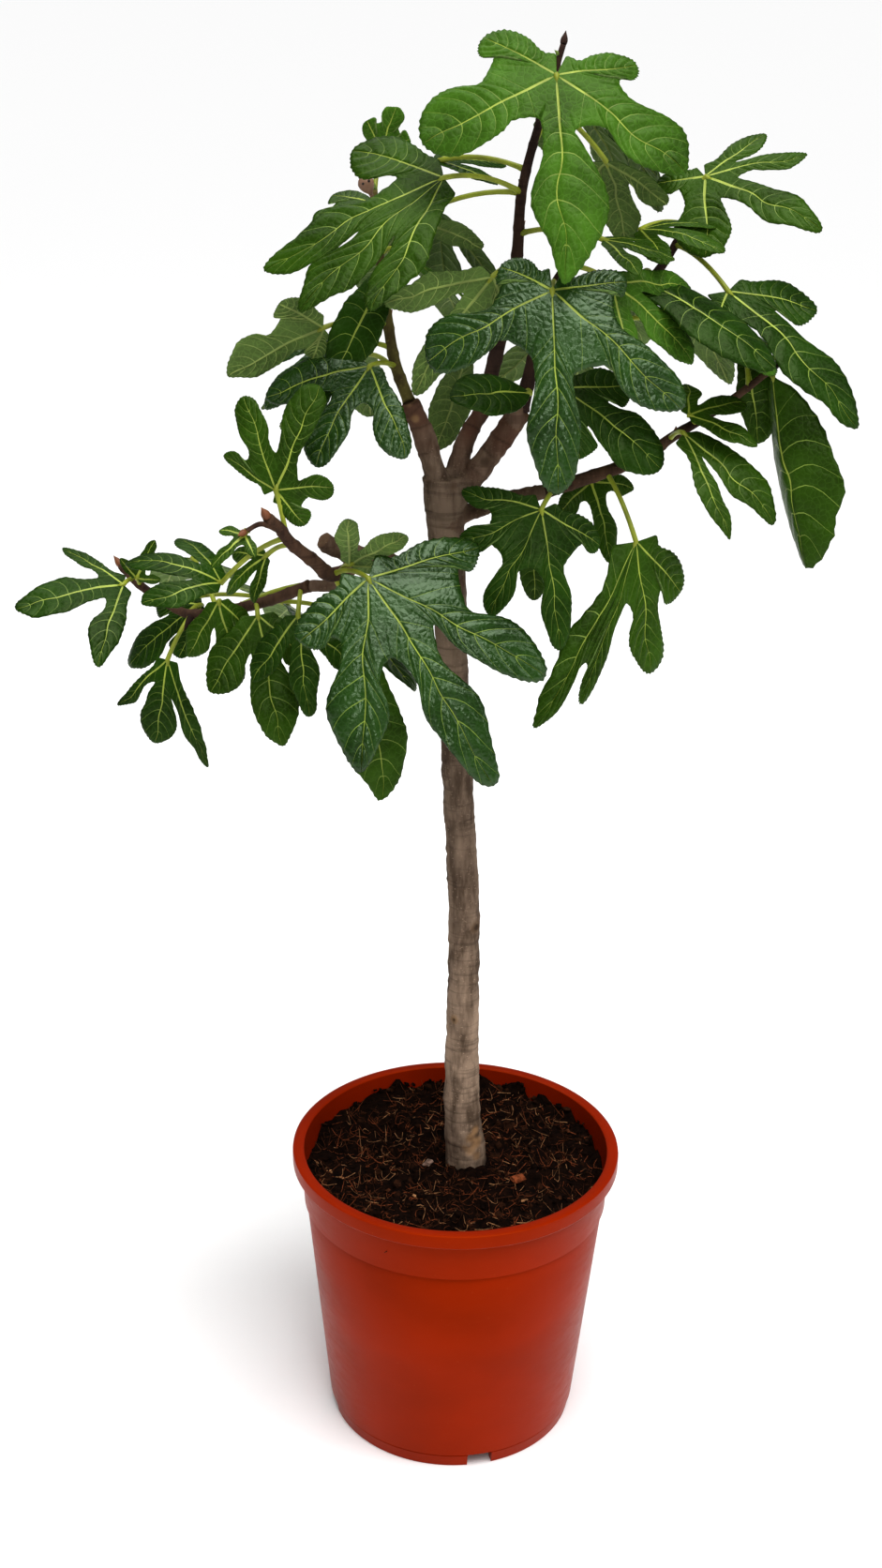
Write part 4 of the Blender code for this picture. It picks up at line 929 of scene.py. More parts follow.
NOISE = "ShaderNodeTexNoise"
CELLS = "ShaderNodeTexVoronoi"
HEIGHTS = {NOISE: "Fac", CELLS: "Distance"}  # the output that holds each pattern's height
BLACK = (0, 0, 0)
WHITE = (1, 1, 1)
RED_MARK = (0.135, 0.055, 0.032)
TAN_MARK = (0.42, 0.25, 0.125)
# Dark of the bark's marks and rings, and of the painted shade on the upper trunk and boughs
DARK_MARK_AND_SHADE = (0.025, 0.014, 0.009)
DUST = (0.40, 0.09, 0.030)
SCUFFED = (0.31, 0.028, 0.003)


def material(name, colour, roughness):
    """(material, its shader) with a plain colour."""
    made = bpy.data.materials.new(name)
    made.use_nodes = True
    shader = made.node_tree.nodes["Principled BSDF"]
    shader.inputs["Base Color"].default_value = (*colour, 1)
    shader.inputs["Roughness"].default_value = roughness
    return made, shader


def shade(colour, times, more=0):
    """The colour made this many times as bright."""
    return [min(1, part * times + more) for part in colour]


def link(made, source, target):
    """Links two sockets of a material."""
    made.node_tree.links.new(source, target)


def pattern(made, kind, scale, stretch=(1, 1, 1), **settings):
    """A noise or cell pattern on the object's own coordinates."""
    nodes = made.node_tree.nodes
    place = nodes.new("ShaderNodeTexCoord")
    mapping = nodes.new("ShaderNodeMapping")
    mapping.inputs["Scale"].default_value = stretch
    texture = nodes.new(kind)
    texture.inputs["Scale"].default_value = scale
    for key, value in settings.items():
        if key in ("feature", "distance"):
            setattr(texture, key, value)
        else:
            texture.inputs[key.replace("_", " ").title()].default_value = value
    link(made, place.outputs["Object"], mapping.inputs["Vector"])
    link(made, mapping.outputs["Vector"], texture.inputs["Vector"])
    return texture


def mixed(made, texture, low, high, start, end):
    """Two colours mixed by a pattern between two of its values."""
    ramp = made.node_tree.nodes.new("ShaderNodeValToRGB")
    ramp.color_ramp.elements[0].position = start
    ramp.color_ramp.elements[1].position = end
    ramp.color_ramp.elements[0].color = (*low, 1)
    ramp.color_ramp.elements[1].color = (*high, 1)
    link(made, texture.outputs[HEIGHTS[texture.bl_idname]], ramp.inputs["Fac"])
    return ramp.outputs["Color"]


def blend(made, first, second, share, most, target=None):
    """Two colours blended by a share from 0 to 1, of which the second has at most this much."""
    nodes = made.node_tree.nodes
    part = nodes.new("ShaderNodeMath")
    part.operation = "MULTIPLY"
    part.inputs[1].default_value = most
    link(made, share, part.inputs[0])
    mix = nodes.new("ShaderNodeMix")
    mix.data_type = "RGBA"
    link(made, part.outputs[0], mix.inputs["Factor"])
    link(made, first, mix.inputs[6])
    mix.inputs[7].default_value = (*second, 1)
    if target:
        link(made, mix.outputs[2], target)
    return mix.outputs[2]


def bumps(made, shader, *layers):
    """Bump from (texture, strength, height) layers, one on another."""
    last = None
    for texture, strength, height in layers:
        bump = made.node_tree.nodes.new("ShaderNodeBump")
        bump.inputs["Strength"].default_value = strength
        bump.inputs["Distance"].default_value = height
        link(made, texture.outputs[HEIGHTS[texture.bl_idname]], bump.inputs["Height"])
        if last:
            link(made, last.outputs["Normal"], bump.inputs["Normal"])
        last = bump
    link(made, last.outputs["Normal"], shader.inputs["Normal"])


def leaf_green(name, colour, roughness=0.32, gloss=0.16, wrinkle=0.32):
    """The blade's upper side: waxy, wrinkled between its small veins, which are a little paler."""
    made, shader = material(name, colour, roughness)
    shader.inputs["Specular IOR Level"].default_value = gloss
    shader.inputs["Specular Tint"].default_value = (0.80, 1.0, 0.50 + 0.6 * (gloss - 0.16), 1)
    cells = pattern(made, CELLS, 190, feature="DISTANCE_TO_EDGE")
    small = pattern(made, CELLS, 480, feature="DISTANCE_TO_EDGE")
    fine = pattern(made, NOISE, 520, detail=3)
    drift = pattern(made, NOISE, 26, detail=3)
    base = mixed(made, drift, shade(colour, 0.68), shade(colour, 1.45), 0.34, 0.70)
    net = mixed(made, cells, WHITE, BLACK, 0.0, 0.075)
    blend(made, base, shade(colour, 2.0, 0.010), net, 0.40, shader.inputs["Base Color"])
    bumps(made, shader, (cells, wrinkle, 0.0016), (small, 0.16, 0.0006), (fine, 0.22, 0.0004))
    return made


def leaf_underside(name, colour):
    """The blade's lower side: dull and paler, with the net of veins standing out."""
    made, shader = material(name, colour, 0.68)
    shader.inputs["Specular IOR Level"].default_value = 0.25
    cells = pattern(made, CELLS, 190, feature="DISTANCE_TO_EDGE")
    drift = pattern(made, NOISE, 30, detail=2)
    base = mixed(made, drift, shade(colour, 0.78), shade(colour, 1.2), 0.35, 0.7)
    net = mixed(made, cells, WHITE, BLACK, 0.0, 0.09)
    blend(made, base, shade(colour, 1.6), net, 0.7, shader.inputs["Base Color"])
    bumps(made, shader, (cells, -0.6, 0.0012))
    return made


def vein_colour(name, colour, roughness=0.45):
    """A vein or stalk: smooth, with slight streaks."""
    made, shader = material(name, colour, roughness)
    shader.inputs["Specular IOR Level"].default_value = 0.35
    fine = pattern(made, NOISE, 600, detail=2)
    drift = pattern(made, NOISE, 60, detail=2)
    base = mixed(made, drift, shade(colour, 0.75), shade(colour, 1.2), 0.35, 0.68)
    link(made, base, shader.inputs["Base Color"])
    bumps(made, shader, (fine, 0.2, 0.0003))
    return made


def leaf_slots():
    """The leaf meshes' materials, in slot order: four greens, two upper veins, the underside and its vein."""
    return [
        leaf_green("leaf fresh green", (0.043, 0.108, 0.0085)),
        leaf_green("leaf green", (0.0235, 0.059, 0.0028)),
        leaf_green("leaf deep green", (0.0140, 0.042, 0.0024)),
        leaf_green("leaf bluish green", (0.0130, 0.042, 0.0036), 0.25, 0.54, 0.38),
        vein_colour("leaf main vein", (0.33, 0.40, 0.060)),
        vein_colour("leaf side vein", (0.185, 0.265, 0.036)),
        leaf_underside("leaf underside", (0.095, 0.155, 0.034)),
        vein_colour("leaf underside vein", (0.27, 0.34, 0.09), 0.55),
    ]


def bark_colour(name, colour, dark_colour):
    """Smooth bark: streaks, pale breathing pores, and the dark and tan marks and painted shade held in the
    mesh.
    """
    made, shader = material(name, colour, 0.82)
    shader.inputs["Specular IOR Level"].default_value = 0.12
    streaks = pattern(made, NOISE, 70, (1, 1, 0.22), detail=6, roughness=0.65)
    blotches = pattern(made, NOISE, 30, (1, 1, 0.7), detail=4)
    grain = pattern(made, NOISE, 650, (1, 1, 0.35), detail=4)
    pores = pattern(made, CELLS, 210, (1, 1, 1.9))
    bands = pattern(made, NOISE, 55, (0.25, 0.25, 4.0), detail=3)
    marks = made.node_tree.nodes.new("ShaderNodeAttribute")
    marks.attribute_name = "marks"
    parts = made.node_tree.nodes.new("ShaderNodeSeparateColor")
    link(made, marks.outputs["Color"], parts.inputs["Color"])
    coats = (
        (shade(colour, 1.45, 0.01), mixed(made, blotches, BLACK, WHITE, 0.5, 0.75), 0.6),
        (shade(colour, 1.7), mixed(made, pores, WHITE, BLACK, 0.10, 0.22), 0.5),
        (shade(dark_colour, 0.45), mixed(made, bands, WHITE, BLACK, 0.36, 0.44), 0.35),
        (RED_MARK, parts.outputs["Blue"], 0.85),
        (TAN_MARK, parts.outputs["Green"], 0.9),
        # dark marks and rings, with painted shade on the upper bark
        (DARK_MARK_AND_SHADE, parts.outputs["Red"], 0.9),
    )
    look = mixed(made, streaks, dark_colour, colour, 0.40, 0.58)
    for coat, share, most in coats:
        look = blend(made, look, coat, share, most)
    link(made, look, shader.inputs["Base Color"])
    bumps(made, shader, (streaks, 0.8, 0.0018), (bands, 0.25, 0.0010), (pores, -0.3, 0.0008),
          (grain, 0.5, 0.0005))
    return made


MAIN_SLOT, SIDE_SLOT, UNDER_SLOT, UNDER_VEIN_SLOT = 4, 5, 6, 7


# Fine leaves


def row_plan():
    """The rows of a half lobe: (share on the vein, share on the edge, height, tooth), below 0 at the base."""
    rows = [(t - 1, t - 1, 0.0, 0.0) for t in BASE_ROWS]
    stops = [0.0, *SIDE_VEINS, 1.0]
    for low, high in zip(stops, stops[1:]):
        vein_low = low + (SIDE_VEIN if low > 0 else 0)
        vein_high = high - (SIDE_VEIN if high < 1 else 0)
        if low > 0:
            rows.append((low - SIDE_VEIN, low - SIDE_VEIN / 4, 0.0, VEIN_TOOTH))
            rows.append((vein_low, low + SIDE_VEIN / 4, 0.0, VEIN_TOOTH))
        else:
            rows.append((0.0, 0.0, 0.0, 0.0))
        steps = ROWS_BETWEEN if high - low > LEAST_GAP else 1
        for step in range(1, steps + 1):
            t = step / (steps + 1)
            share = vein_low + (vein_high - vein_low) * t
            tooth = TEETH[step - 1] if steps == ROWS_BETWEEN else 0
            rows.append((share, share, math.sin(math.pi * t), tooth))
    rows.append((1.0, 1.0, 0.0, 0.0))
    return rows


def is_vein_row(rows, index):
    """Whether the strip above this row is a side vein."""
    return index + 1 < len(rows) and 0 < rows[index + 1][0] - rows[index][0] < 2.2 * SIDE_VEIN


def half_lobe_sheet(rows, flipped):
    """A flat grid for one half lobe, with its veins' faces marked. Its points hold their column and row."""
    form = bmesh.new()
    across, along = len(COLUMNS), len(rows) - 1
    verts = bmesh.ops.create_grid(form, x_segments=across, y_segments=along, size=1)["verts"]
    for vert in verts:
        vert.co = ((vert.co.x + 1) / 2 * across, (vert.co.y + 1) / 2 * along, 0)
    for face in form.faces:
        middle = face.calc_center_median()
        if middle.x < 1:
            face.material_index = 1
        elif is_vein_row(rows, int(middle.y)):
            face.material_index = 2
    if flipped:
        bmesh.ops.reverse_faces(form, faces=form.faces)
    return mesh_of("half lobe", form)


def fine_halves(form_name):
    """The half lobes of a fine leaf, by its own closer form where it has one."""
    if form_name not in FINE_FORMS:
        return lobe_halves(*plain_form(form_name, PLAIN_POINT), FINE_EDGE)
    lobes, bays = FINE_FORMS[form_name]
    return lobe_halves(lobes, [clock(angle) * out for angle, out in bays], FINE_EDGE)


def row_lines(rows, half):
    """For each row of a half lobe: its ends on the vein and on the edge, its height and its tooth."""
    _, (angle, length, _), turns, lead = half
    tip = clock(angle) * length
    over_vein = mirrored(turns[-2], tip)
    lines = []
    for on_vein, on_edge, height, tooth in rows:
        if on_vein < 0:
            t = 1 + on_vein
            lines.append((tip * VEIN_START * t, turns[0] * t, height, 0))
        else:
            lines.append((vein_spot(tip, on_vein), margin_at(turns, lead, over_vein, on_edge), height, tooth))
    return lines


def uneven(spot, fineness, seed):
    """Noise at a flat point of the leaf with this seed."""
    return noise.noise(spot.to_3d() * fineness + seed)


def shape_half_lobe(verts, rise, rows, half, blade, seed):
    """Moves one sheet's points to their places on the leaf, and notes how far their underside lies."""
    _, (angle, _, width), turns, _ = half
    out = clock(angle)
    outermost = turns[0].length < 1.5 * HEEL_OUT
    lines = row_lines(rows, half)
    for vert in verts:
        column, row = round(vert.co.x), round(vert.co.y)
        vein, edge, height, tooth = lines[row]
        across = edge - vein
        reach = across.length
        along = min(max(rows[row][0], 0), 1)
        free = min(along * 4, 1)
        vein_half = min(MAIN_VEIN / blade.size * (1 - MAIN_VEIN_TAPER * along), MAIN_VEIN_MOST * reach)
        place = 0.0
        if column and reach > 1e-6:
            place = (vein_half + (reach - vein_half) * COLUMNS[column - 1]) / reach
        middle = max(math.sin(math.pi * place), 0)
        spot = vein + across * place
        spot -= out * VEIN_CURVE * middle * free * width / USUAL_HALF
        if column == len(COLUMNS) and (tooth or outermost):
            bite = tooth * (1 + UNEVEN_TEETH[0] * uneven(spot, UNEVEN_TEETH[1], seed))
            bite += ROUGH_EDGE[0] * uneven(spot, ROUGH_EDGE[1], seed)
            spot += across.normalized() * TOOTH * bite * min(along * 8, 1)
        stray = Vector((uneven(spot, WANDER_FINENESS, seed), uneven(spot, WANDER_FINENESS, -seed)))
        spot += stray * WANDER * min(spot.length * 2, 1)
        lift = QUILT * height * middle ** 0.7 * free if height else 0.0
        lift += BROAD_WAVE * uneven(spot, BROAD_WAVE_FINENESS, seed) * spot.length
        lift += SMALL_WAVE * uneven(spot, SMALL_WAVE_FINENESS, seed) * place * free
        depth = BLADE_THICKNESS
        if column == 0:
            lift -= MAIN_VEIN_SUNK
            depth += VEIN_DEPTH * (1 - 0.7 * along) * 1.6
        elif column == 1:
            depth += VEIN_DEPTH * (1 - 0.7 * along) * 0.4
        elif abs(height) < 1e-6 and 0 < along < 1:
            lift -= SIDE_VEIN_SUNK * (1 - place)
            depth += VEIN_DEPTH * 0.4 * (1 - place)
        vert.co = blade.place(spot) + blade.face * lift * blade.size
        vert[rise] = depth


def fine_leaf(form, rise, sheets, rows, blade, form_name, green, seed):
    """Adds one leaf blade to the mesh: its upper side from the half lobes' sheets, then its underside."""
    new_verts, new_faces = [], []
    for half in fine_halves(form_name):
        have_verts, have_faces = len(form.verts), len(form.faces)
        form.from_mesh(sheets[half[0]])
        form.verts.ensure_lookup_table()
        form.faces.ensure_lookup_table()
        verts = form.verts[have_verts:]
        shape_half_lobe(verts, rise, rows, half, blade, seed)
        new_verts += verts
        new_faces += form.faces[have_faces:]
    for face in new_faces:
        face.material_index = (green, MAIN_SLOT, SIDE_SLOT)[face.material_index]
        face.smooth = True
    faces_before = set(form.faces) - set(new_faces)
    bmesh.ops.remove_doubles(form, verts=new_verts, dist=0.00003)
    top = [face for face in form.faces if face not in faces_before]
    corners = list({vert for face in top for vert in face.verts})
    for vert in corners:
        vert.normal_update()
    downs = form.verts.layers.float_vector["down"]
    for vert in corners:
        vert[downs] = vert.normal * -vert[rise]
    grown = bmesh.ops.extrude_face_region(form, geom=top, use_keep_orig=True)["geom"]
    under = []
    for item in grown:
        if isinstance(item, bmesh.types.BMVert):
            item.co += item[downs]
        elif isinstance(item, bmesh.types.BMFace):
            item.material_index = UNDER_SLOT if item.material_index == green else UNDER_VEIN_SLOT
            under.append(item)
    bmesh.ops.reverse_faces(form, faces=under)


def leaf_piece(mass, leaves, slots, sheets, rows):
    """One mass's leaves, joined."""
    form = bmesh.new()
    form.verts.layers.float.new("rise")
    form.verts.layers.float_vector.new("down")
    for index, (_, blade, form_name, green) in enumerate(leaves):
        fresh = bmesh.new()
        fresh_rise = fresh.verts.layers.float.new("rise")
        fresh.verts.layers.float_vector.new("down")
        seed = Vector((index * LEAF_SEED, len(mass) * MASS_SEED, 0))
        fine_leaf(fresh, fresh_rise, sheets, rows, blade, form_name, GREEN_NAMES.index(green), seed)
        bmesh.ops.recalc_face_normals(fresh, faces=fresh.faces)
        add_to(form, fresh)
    return piece(mass + "_leaves", form, slots)


def piece(name, form, materials):
    """An object for the finished mesh, riding on the tree."""
    mesh = mesh_of(name, form)
    for made in materials:
        mesh.materials.append(made)
    obj = placed(name, mesh)
    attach(obj, "root")
    return obj


# Stalks and shoots


def add_tube(whole, points, widths, sides, slot):
    """Adds a round tube through the points, swept from a circle, with its ends closed."""
    form = bmesh.new()
    for index, (point, width) in enumerate(zip(points, widths)):
        before, after = points[max(index - 1, 0)], points[min(index + 1, len(points) - 1)]
        way = (after - before).normalized()
        turn = last_way.rotation_difference(way) @ turn if index else way.to_track_quat("Z", "Y")
        place = Matrix.Translation(point) @ turn.to_matrix().to_4x4()
        if index == 0:
            ring = bmesh.ops.create_circle(form, segments=sides, radius=width / 2, cap_ends=True,
                                           matrix=place)["verts"]
            edges = list(ring[0].link_faces[0].edges)
        else:
            made = bmesh.ops.extrude_edge_only(form, edges=edges)["geom"]
            ring = [item for item in made if isinstance(item, bmesh.types.BMVert)]
            edges = [item for item in made if isinstance(item, bmesh.types.BMEdge)]
            bmesh.ops.transform(form, matrix=place @ last_place.inverted(), verts=ring)
            bmesh.ops.scale(form, vec=(width / last_width,) * 3, space=Matrix.Translation(-point), verts=ring)
            for item in made:
                if isinstance(item, bmesh.types.BMFace):
                    item.smooth = True
        last_way, last_place, last_width = way, place, width
    for face in form.faces:
        face.material_index = slot
    bmesh.ops.contextual_create(form, geom=edges)
    add_to(whole, form)


def stalk_route(start, blade):
    """(points, thicknesses) of a stalk from its shoot into the blade's base, thicker at both ends."""
    points, widths = [], []
    for step in range(STALK_STEPS + 1):
        t = step / STALK_STEPS
        points.append(stalk_point(start, blade, t))
        swell = 0.5 * math.exp(-t * 14) + 0.12 * math.exp(-(1 - t) * 10)
        widths.append(STALK_THICKNESS * (0.86 + swell))
    points.append(blade.base + blade.along * STALK_ROOT - blade.face * STALK_SUNK)
    widths.append(STALK_THICKNESS * 0.45)
    return points, widths


def final_mesh(name, form, modifiers):
    """The mesh that these modifiers make of the form."""
    mesh = mesh_of(name, form)
    obj = placed(name, mesh)
    for kind, settings in modifiers:
        modifier = obj.modifiers.new(kind.lower(), kind)
        for key, value in settings.items():
            setattr(modifier, key, value)
    graph = bpy.context.evaluated_depsgraph_get()
    made = bpy.data.meshes.new_from_object(obj.evaluated_get(graph))
    bpy.data.objects.remove(obj)
    bpy.data.meshes.remove(mesh)
    return made


# Bark


def bark_lines():
    """For the trunk and each bough: (name, points, thicknesses)."""
    centre = [Vector(point) + Vector((0, 0, COMPOST_TOP)) for point, _ in TRUNK]
    widths = [*FOOT_WIDTHS, *[width for _, width in TRUNK][len(FOOT_WIDTHS):]]
    ends = [widths[0], *widths, widths[-1]]
    thick = []
    for index in range(len(widths) - 1):
        thick += [between(*ends[index:index + 4], step / BARK_STEPS) for step in range(BARK_STEPS)]
    line = through(centre, BARK_STEPS)
    foot = line[0] - Vector((0, 0, TRUNK_FOOT))
    lines = [("trunk", [foot, *line], [widths[0] * TRUNK_FOOT_WIDER, *thick, widths[-1]])]
    for name, (points, thick_start, thick_end, _) in BOUGHS.items():
        route = Route(points, thick_start, thick_end, BOUGH_STEPS)
        lines.append((name, *route.stretch(0, route.length)))
    lines.append(("spike", [Vector(place) for place in SPIKE], SPIKE_WIDTHS))
    arm = Route(LEFT_ARM, LEFT_ARM_THICKNESS, LEFT_ARM_THICKNESS, BOUGH_STEPS)
    lines.append(("arm", *arm.stretch(0, arm.length)))
    return lines


def limb_samples(lines):
    """Places along every limb: (place, limb's name, share of its length, its length)."""
    samples = []
    for name, points, _ in lines:
        run = 0
        total = sum((b - a).length for a, b in zip(points, points[1:]))
        for a, b in zip(points, points[1:]):
            reach = (b - a).length
            for step in range(LIMB_SAMPLES):
                share = (run + reach * step / LIMB_SAMPLES) / total
                samples.append((a.lerp(b, step / LIMB_SAMPLES), name, share, total))
            run += reach
        samples.append((points[-1], name, 1.0, total))
    return samples


def bark_at(place, name, share, total):
    """How far the bark stands out at a place on a limb, and how dark, tan and red it is there."""
    push = sum(height * noise.noise(place * Vector(fineness)) for height, fineness in RELIEF)
    dark, tan, red = 0.0, 0.0, 0.0
    for ring in RINGS.get(name, ()):
        away = (share - ring) * total + RING_WANDER * noise.noise(place * 70)
        push += math.exp(-(away / RING_WIDTH) ** 2) * RING_HEIGHT * (1 + noise.noise(place * 130))
        beside = (away - RING_WIDTH) / (0.5 * RING_WIDTH)
        dark += RING_DARKNESS * math.exp(-beside ** 2) * (0.6 + noise.noise(place * 90))
    for spot, size, height, dark_mark, tan_mark in MARKS:
        away = (place - Vector(spot)).length / size
        if away < 1.6:
            inside = math.exp(-away ** 4)
            push += height * inside
            dark += dark_mark * inside
            tan += tan_mark * inside
    if name in CUT_LIMBS:
        red = min(max((share - 0.15) * 1.5 + 0.5 * noise.noise(place * 60), 0), 1)
    if name == "spike":
        red = 0.5
        tan += min(max(share - 0.35, 0) * 2.4, 1)
    if name not in ("trunk", "arm", "spike") and share > 0.997:
        tan += 0.35
        red += 0.4
    if name in LONG_LIMBS:
        red = 0.45
    # Painted shade: higher up, under the leaves, the bark is painted darker.
    dark += PAINTED_SHADE_MOST * min(max((place.z - PAINTED_SHADE_FROM) / PAINTED_SHADE_OVER, 0), 1)
    damp = DAMP_LINE + 0.012 * noise.noise(place * 90)
    if place.z < damp:
        dark += min((damp - place.z) / DAMP_OVER, 1) * 0.7
    return push, (min(dark, 1), min(tan, 1), min(red, 1), 1)


def bark_piece(slots):
    """The trunk and boughs in one skin: joined at the fork, with rings, knots, scars and cut ends."""
    lines = bark_lines()
    form = bmesh.new()
    for name, points, thick in lines:
        add_tube(form, points, thick, TRUNK_SIDES if name == "trunk" else BOUGH_SIDES, 0)
    bmesh.ops.recalc_face_normals(form, faces=form.faces)
    mesh = final_mesh("bark", form, [("REMESH", {"mode": "VOXEL", "voxel_size": VOXEL}),
                                     ("SMOOTH", {"factor": 0.5, "iterations": 7})])
    samples = limb_samples(lines)
    near = KDTree(len(samples))
    for index, sample in enumerate(samples):
        near.insert(sample[0], index)
    near.balance()
    form = bmesh.new()
    form.from_mesh(mesh)
    # The marks' colours per point: dark, tan and red, the dark holding painted shade higher up as well.
    marks = form.verts.layers.float_color.new("marks")
    for vert in form.verts:
        _, index, _ = near.find(vert.co)
        push, vert[marks] = bark_at(vert.co.copy(), *samples[index][1:])
        vert.co += vert.normal * push
    painted(form, 0, True)
    return piece("bark", form, slots)


# Shoots, buds and the small fig


def jointed(route, spacing):
    """(points, thicknesses) of a shoot that swells a little at each joint."""
    points, widths = route.stretch(0, route.length)
    run = 0
    swollen = []
    for index, point in enumerate(points):
        if index:
            run += (point - points[index - 1]).length
        away = (run / spacing) % 1.0
        away = min(away, 1 - away) * spacing
        swollen.append(widths[index] * (1 + JOINT_SWELL * math.exp(-(away / JOINT_REACH) ** 2)))
    return points, swollen


def add_bud(form, start, way, length, thick, slot):
    """Adds a pointed bud, widest near its base."""
    points, widths = [], []
    for step in range(BUD_STEPS + 1):
        t = step / BUD_STEPS
        swell = 1.15 * math.sin(math.pi * (0.30 + 0.62 * t)) * (1 - t * t * 0.75)
        points.append(start + way * length * t)
        widths.append(thick * max(swell, BUD_TIP))
    add_tube(form, points, widths, BUD_SIDES, slot)


def add_fig(form, route):
    """Adds the small fig on its stalk, with two dark spots."""
    start = route.at(FIG_SHARE * route.length)
    way = bearing(*FIG_WAY)
    points, widths = [start, start + way * FIG_STALK * 0.5], [*FIG_STALK_WIDTHS]
    for along, share in FIG_PROFILE:
        points.append(start + way * (FIG_STALK + along * FIG_LENGTH))
        widths.append(FIG_THICKNESS * share)
    add_tube(form, points, widths, FIG_SIDES, FIG_SLOT)
    heart = start + way * (FIG_STALK + SPOTS_ALONG * FIG_LENGTH)
    for turn in SPOTS_TURNS:
        spot = heart + Vector((turn, -FIG_THICKNESS * 0.46, 0.0018 + turn * 0.5))
        place = Matrix.Translation(spot) @ Matrix.Diagonal((1, 0.5, 1, 1))
        dot = bmesh.new()
        bmesh.ops.create_icosphere(dot, subdivisions=2, radius=SPOT_SIZE, matrix=place)
        painted(dot, SPOT_SLOT, True)
        add_to(form, dot)


def twig_piece(mass, crown, slots):
    """One mass's shoots, buds and leaf stalks."""
    form = bmesh.new()
    for start, blade, _, _ in crown.leaves[mass]:
        add_tube(form, *stalk_route(start, blade), STALK_SIDES, 0)
    for name, (points, thick_start, thick_end) in SHOOTS[mass].items():
        route = Route(points, thick_start, thick_end, SHOOT_STEPS)
        add_tube(form, *jointed(route, JOINT_SPACING), SHOOT_SIDES, SHOOT_COLOURS[name])
        for shoot, share, heading, climb, length, thick, slot in BUDS:
            if shoot == name:
                add_bud(form, route.at(share * route.length), bearing(heading, climb), length, thick, slot)
        if name == "left shoot":
            add_fig(form, route)
    bmesh.ops.recalc_face_normals(form, faces=form.faces)
    return piece(mass + "_twigs", form, slots)


def twig_slots():
    """The twig meshes' materials, in slot order."""
    return [
        vein_colour("leaf stalk", (0.27, 0.31, 0.028), 0.42),
        bark_colour("brown shoot", (0.085, 0.046, 0.028), (0.036, 0.019, 0.013)),
        bark_colour("dark shoot", (0.050, 0.026, 0.018), (0.021, 0.011, 0.009)),
        bark_colour("green shoot", (0.120, 0.100, 0.030), (0.060, 0.042, 0.018)),
        vein_colour("green bud", (0.150, 0.220, 0.040), 0.5),
        vein_colour("brown bud", (0.210, 0.075, 0.028), 0.5),
        vein_colour("small fig", (0.300, 0.170, 0.110), 0.6),
        material("fig spot", (0.012, 0.008, 0.006), 0.6)[0],
    ]


# Pot and compost


def spun(form, profile, steps):
    """Adds a profile turned once round the upright axis."""
    line = [bmesh.ops.create_vert(form, co=(profile[0][0], 0, profile[0][1]))["vert"][0]]
    edges = []
    for radius, height in profile[1:]:
        made = bmesh.ops.extrude_vert_indiv(form, verts=[line[-1]])
        made["verts"][0].co = (radius, 0, height)
        line += made["verts"]
        edges += made["edges"]
    bmesh.ops.spin(form, geom=line + edges, axis=(0, 0, 1), cent=(0, 0, 0), angle=math.tau, steps=steps,
                   use_merge=True)
    bmesh.ops.remove_doubles(form, verts=form.verts, dist=0.00001)
    bmesh.ops.recalc_face_normals(form, faces=form.faces)


def pot_profile():
    """(radius, height) from the middle of the pot's floor, up inside, over the lip and down to the pad."""
    lip_bottom = POT_HEIGHT - LIP_HEIGHT
    step_height = POT_HEIGHT - STEP_BELOW_RIM
    step_wall = wall_radius(step_height)
    foot_wall = wall_radius(FOOT_LINE)
    foot_side = FOOT_RADIUS + FOOT_WIDER
    middle = (RIM_INNER_RADIUS + RIM_RADIUS) / 2
    half = (RIM_RADIUS - RIM_INNER_RADIUS) / 2
    lip = []
    for turn in range(0, 181, 20):
        way = math.radians(turn)
        lip.append((middle - half * math.cos(way), POT_HEIGHT - LIP_ROUND * (1 - math.sin(way) ** 0.4)))
    return [
        (0, FLOOR_TOP),
        (wall_radius(FLOOR_TOP) - WALL - 0.004, FLOOR_TOP),
        (wall_radius(FLOOR_TOP + 0.004) - WALL, FLOOR_TOP + 0.005),
        (step_wall - WALL, step_height),
        (RIM_INNER_RADIUS - 0.0008, lip_bottom + 0.002),
        *lip,
        (RIM_RADIUS - 0.0002, lip_bottom + 0.0014),
        (RIM_RADIUS - 0.0009, lip_bottom + 0.0004),
        (RIM_RADIUS - 0.0022, lip_bottom),
        (WALL_TOP_RADIUS + 0.0012, lip_bottom),
        (WALL_TOP_RADIUS, lip_bottom - 0.0015),
        (step_wall + STEP_OUT, step_height + 0.0004),
        (step_wall + STEP_OUT * 0.7, step_height),
        (step_wall - 0.0004, step_height - 0.0003),
        (step_wall, step_height - 0.0012),
        (wall_radius((step_height + FOOT_LINE) / 2), (step_height + FOOT_LINE) / 2),
        (foot_wall, FOOT_LINE + 0.0004),
        (foot_wall - FOOT_GROOVE, FOOT_LINE),
        (foot_wall - 0.0011, FOOT_LINE - 0.0015),
        (foot_side, EDGE_ROUND),
        (foot_side - EDGE_ROUND, 0),
        (FOOT_INNER_RADIUS + EDGE_ROUND, 0),
        (FOOT_INNER_RADIUS, EDGE_ROUND),
        (FOOT_INNER_RADIUS - EDGE_ROUND, FLOOR_UNDERSIDE),
        (PAD_RADIUS + 0.0012, FLOOR_UNDERSIDE),
        (PAD_RADIUS, FLOOR_UNDERSIDE - 0.001),
        (PAD_RADIUS - 0.0004, EDGE_ROUND),
        (PAD_RADIUS - 0.0010, 0),
        (0, 0),
    ]


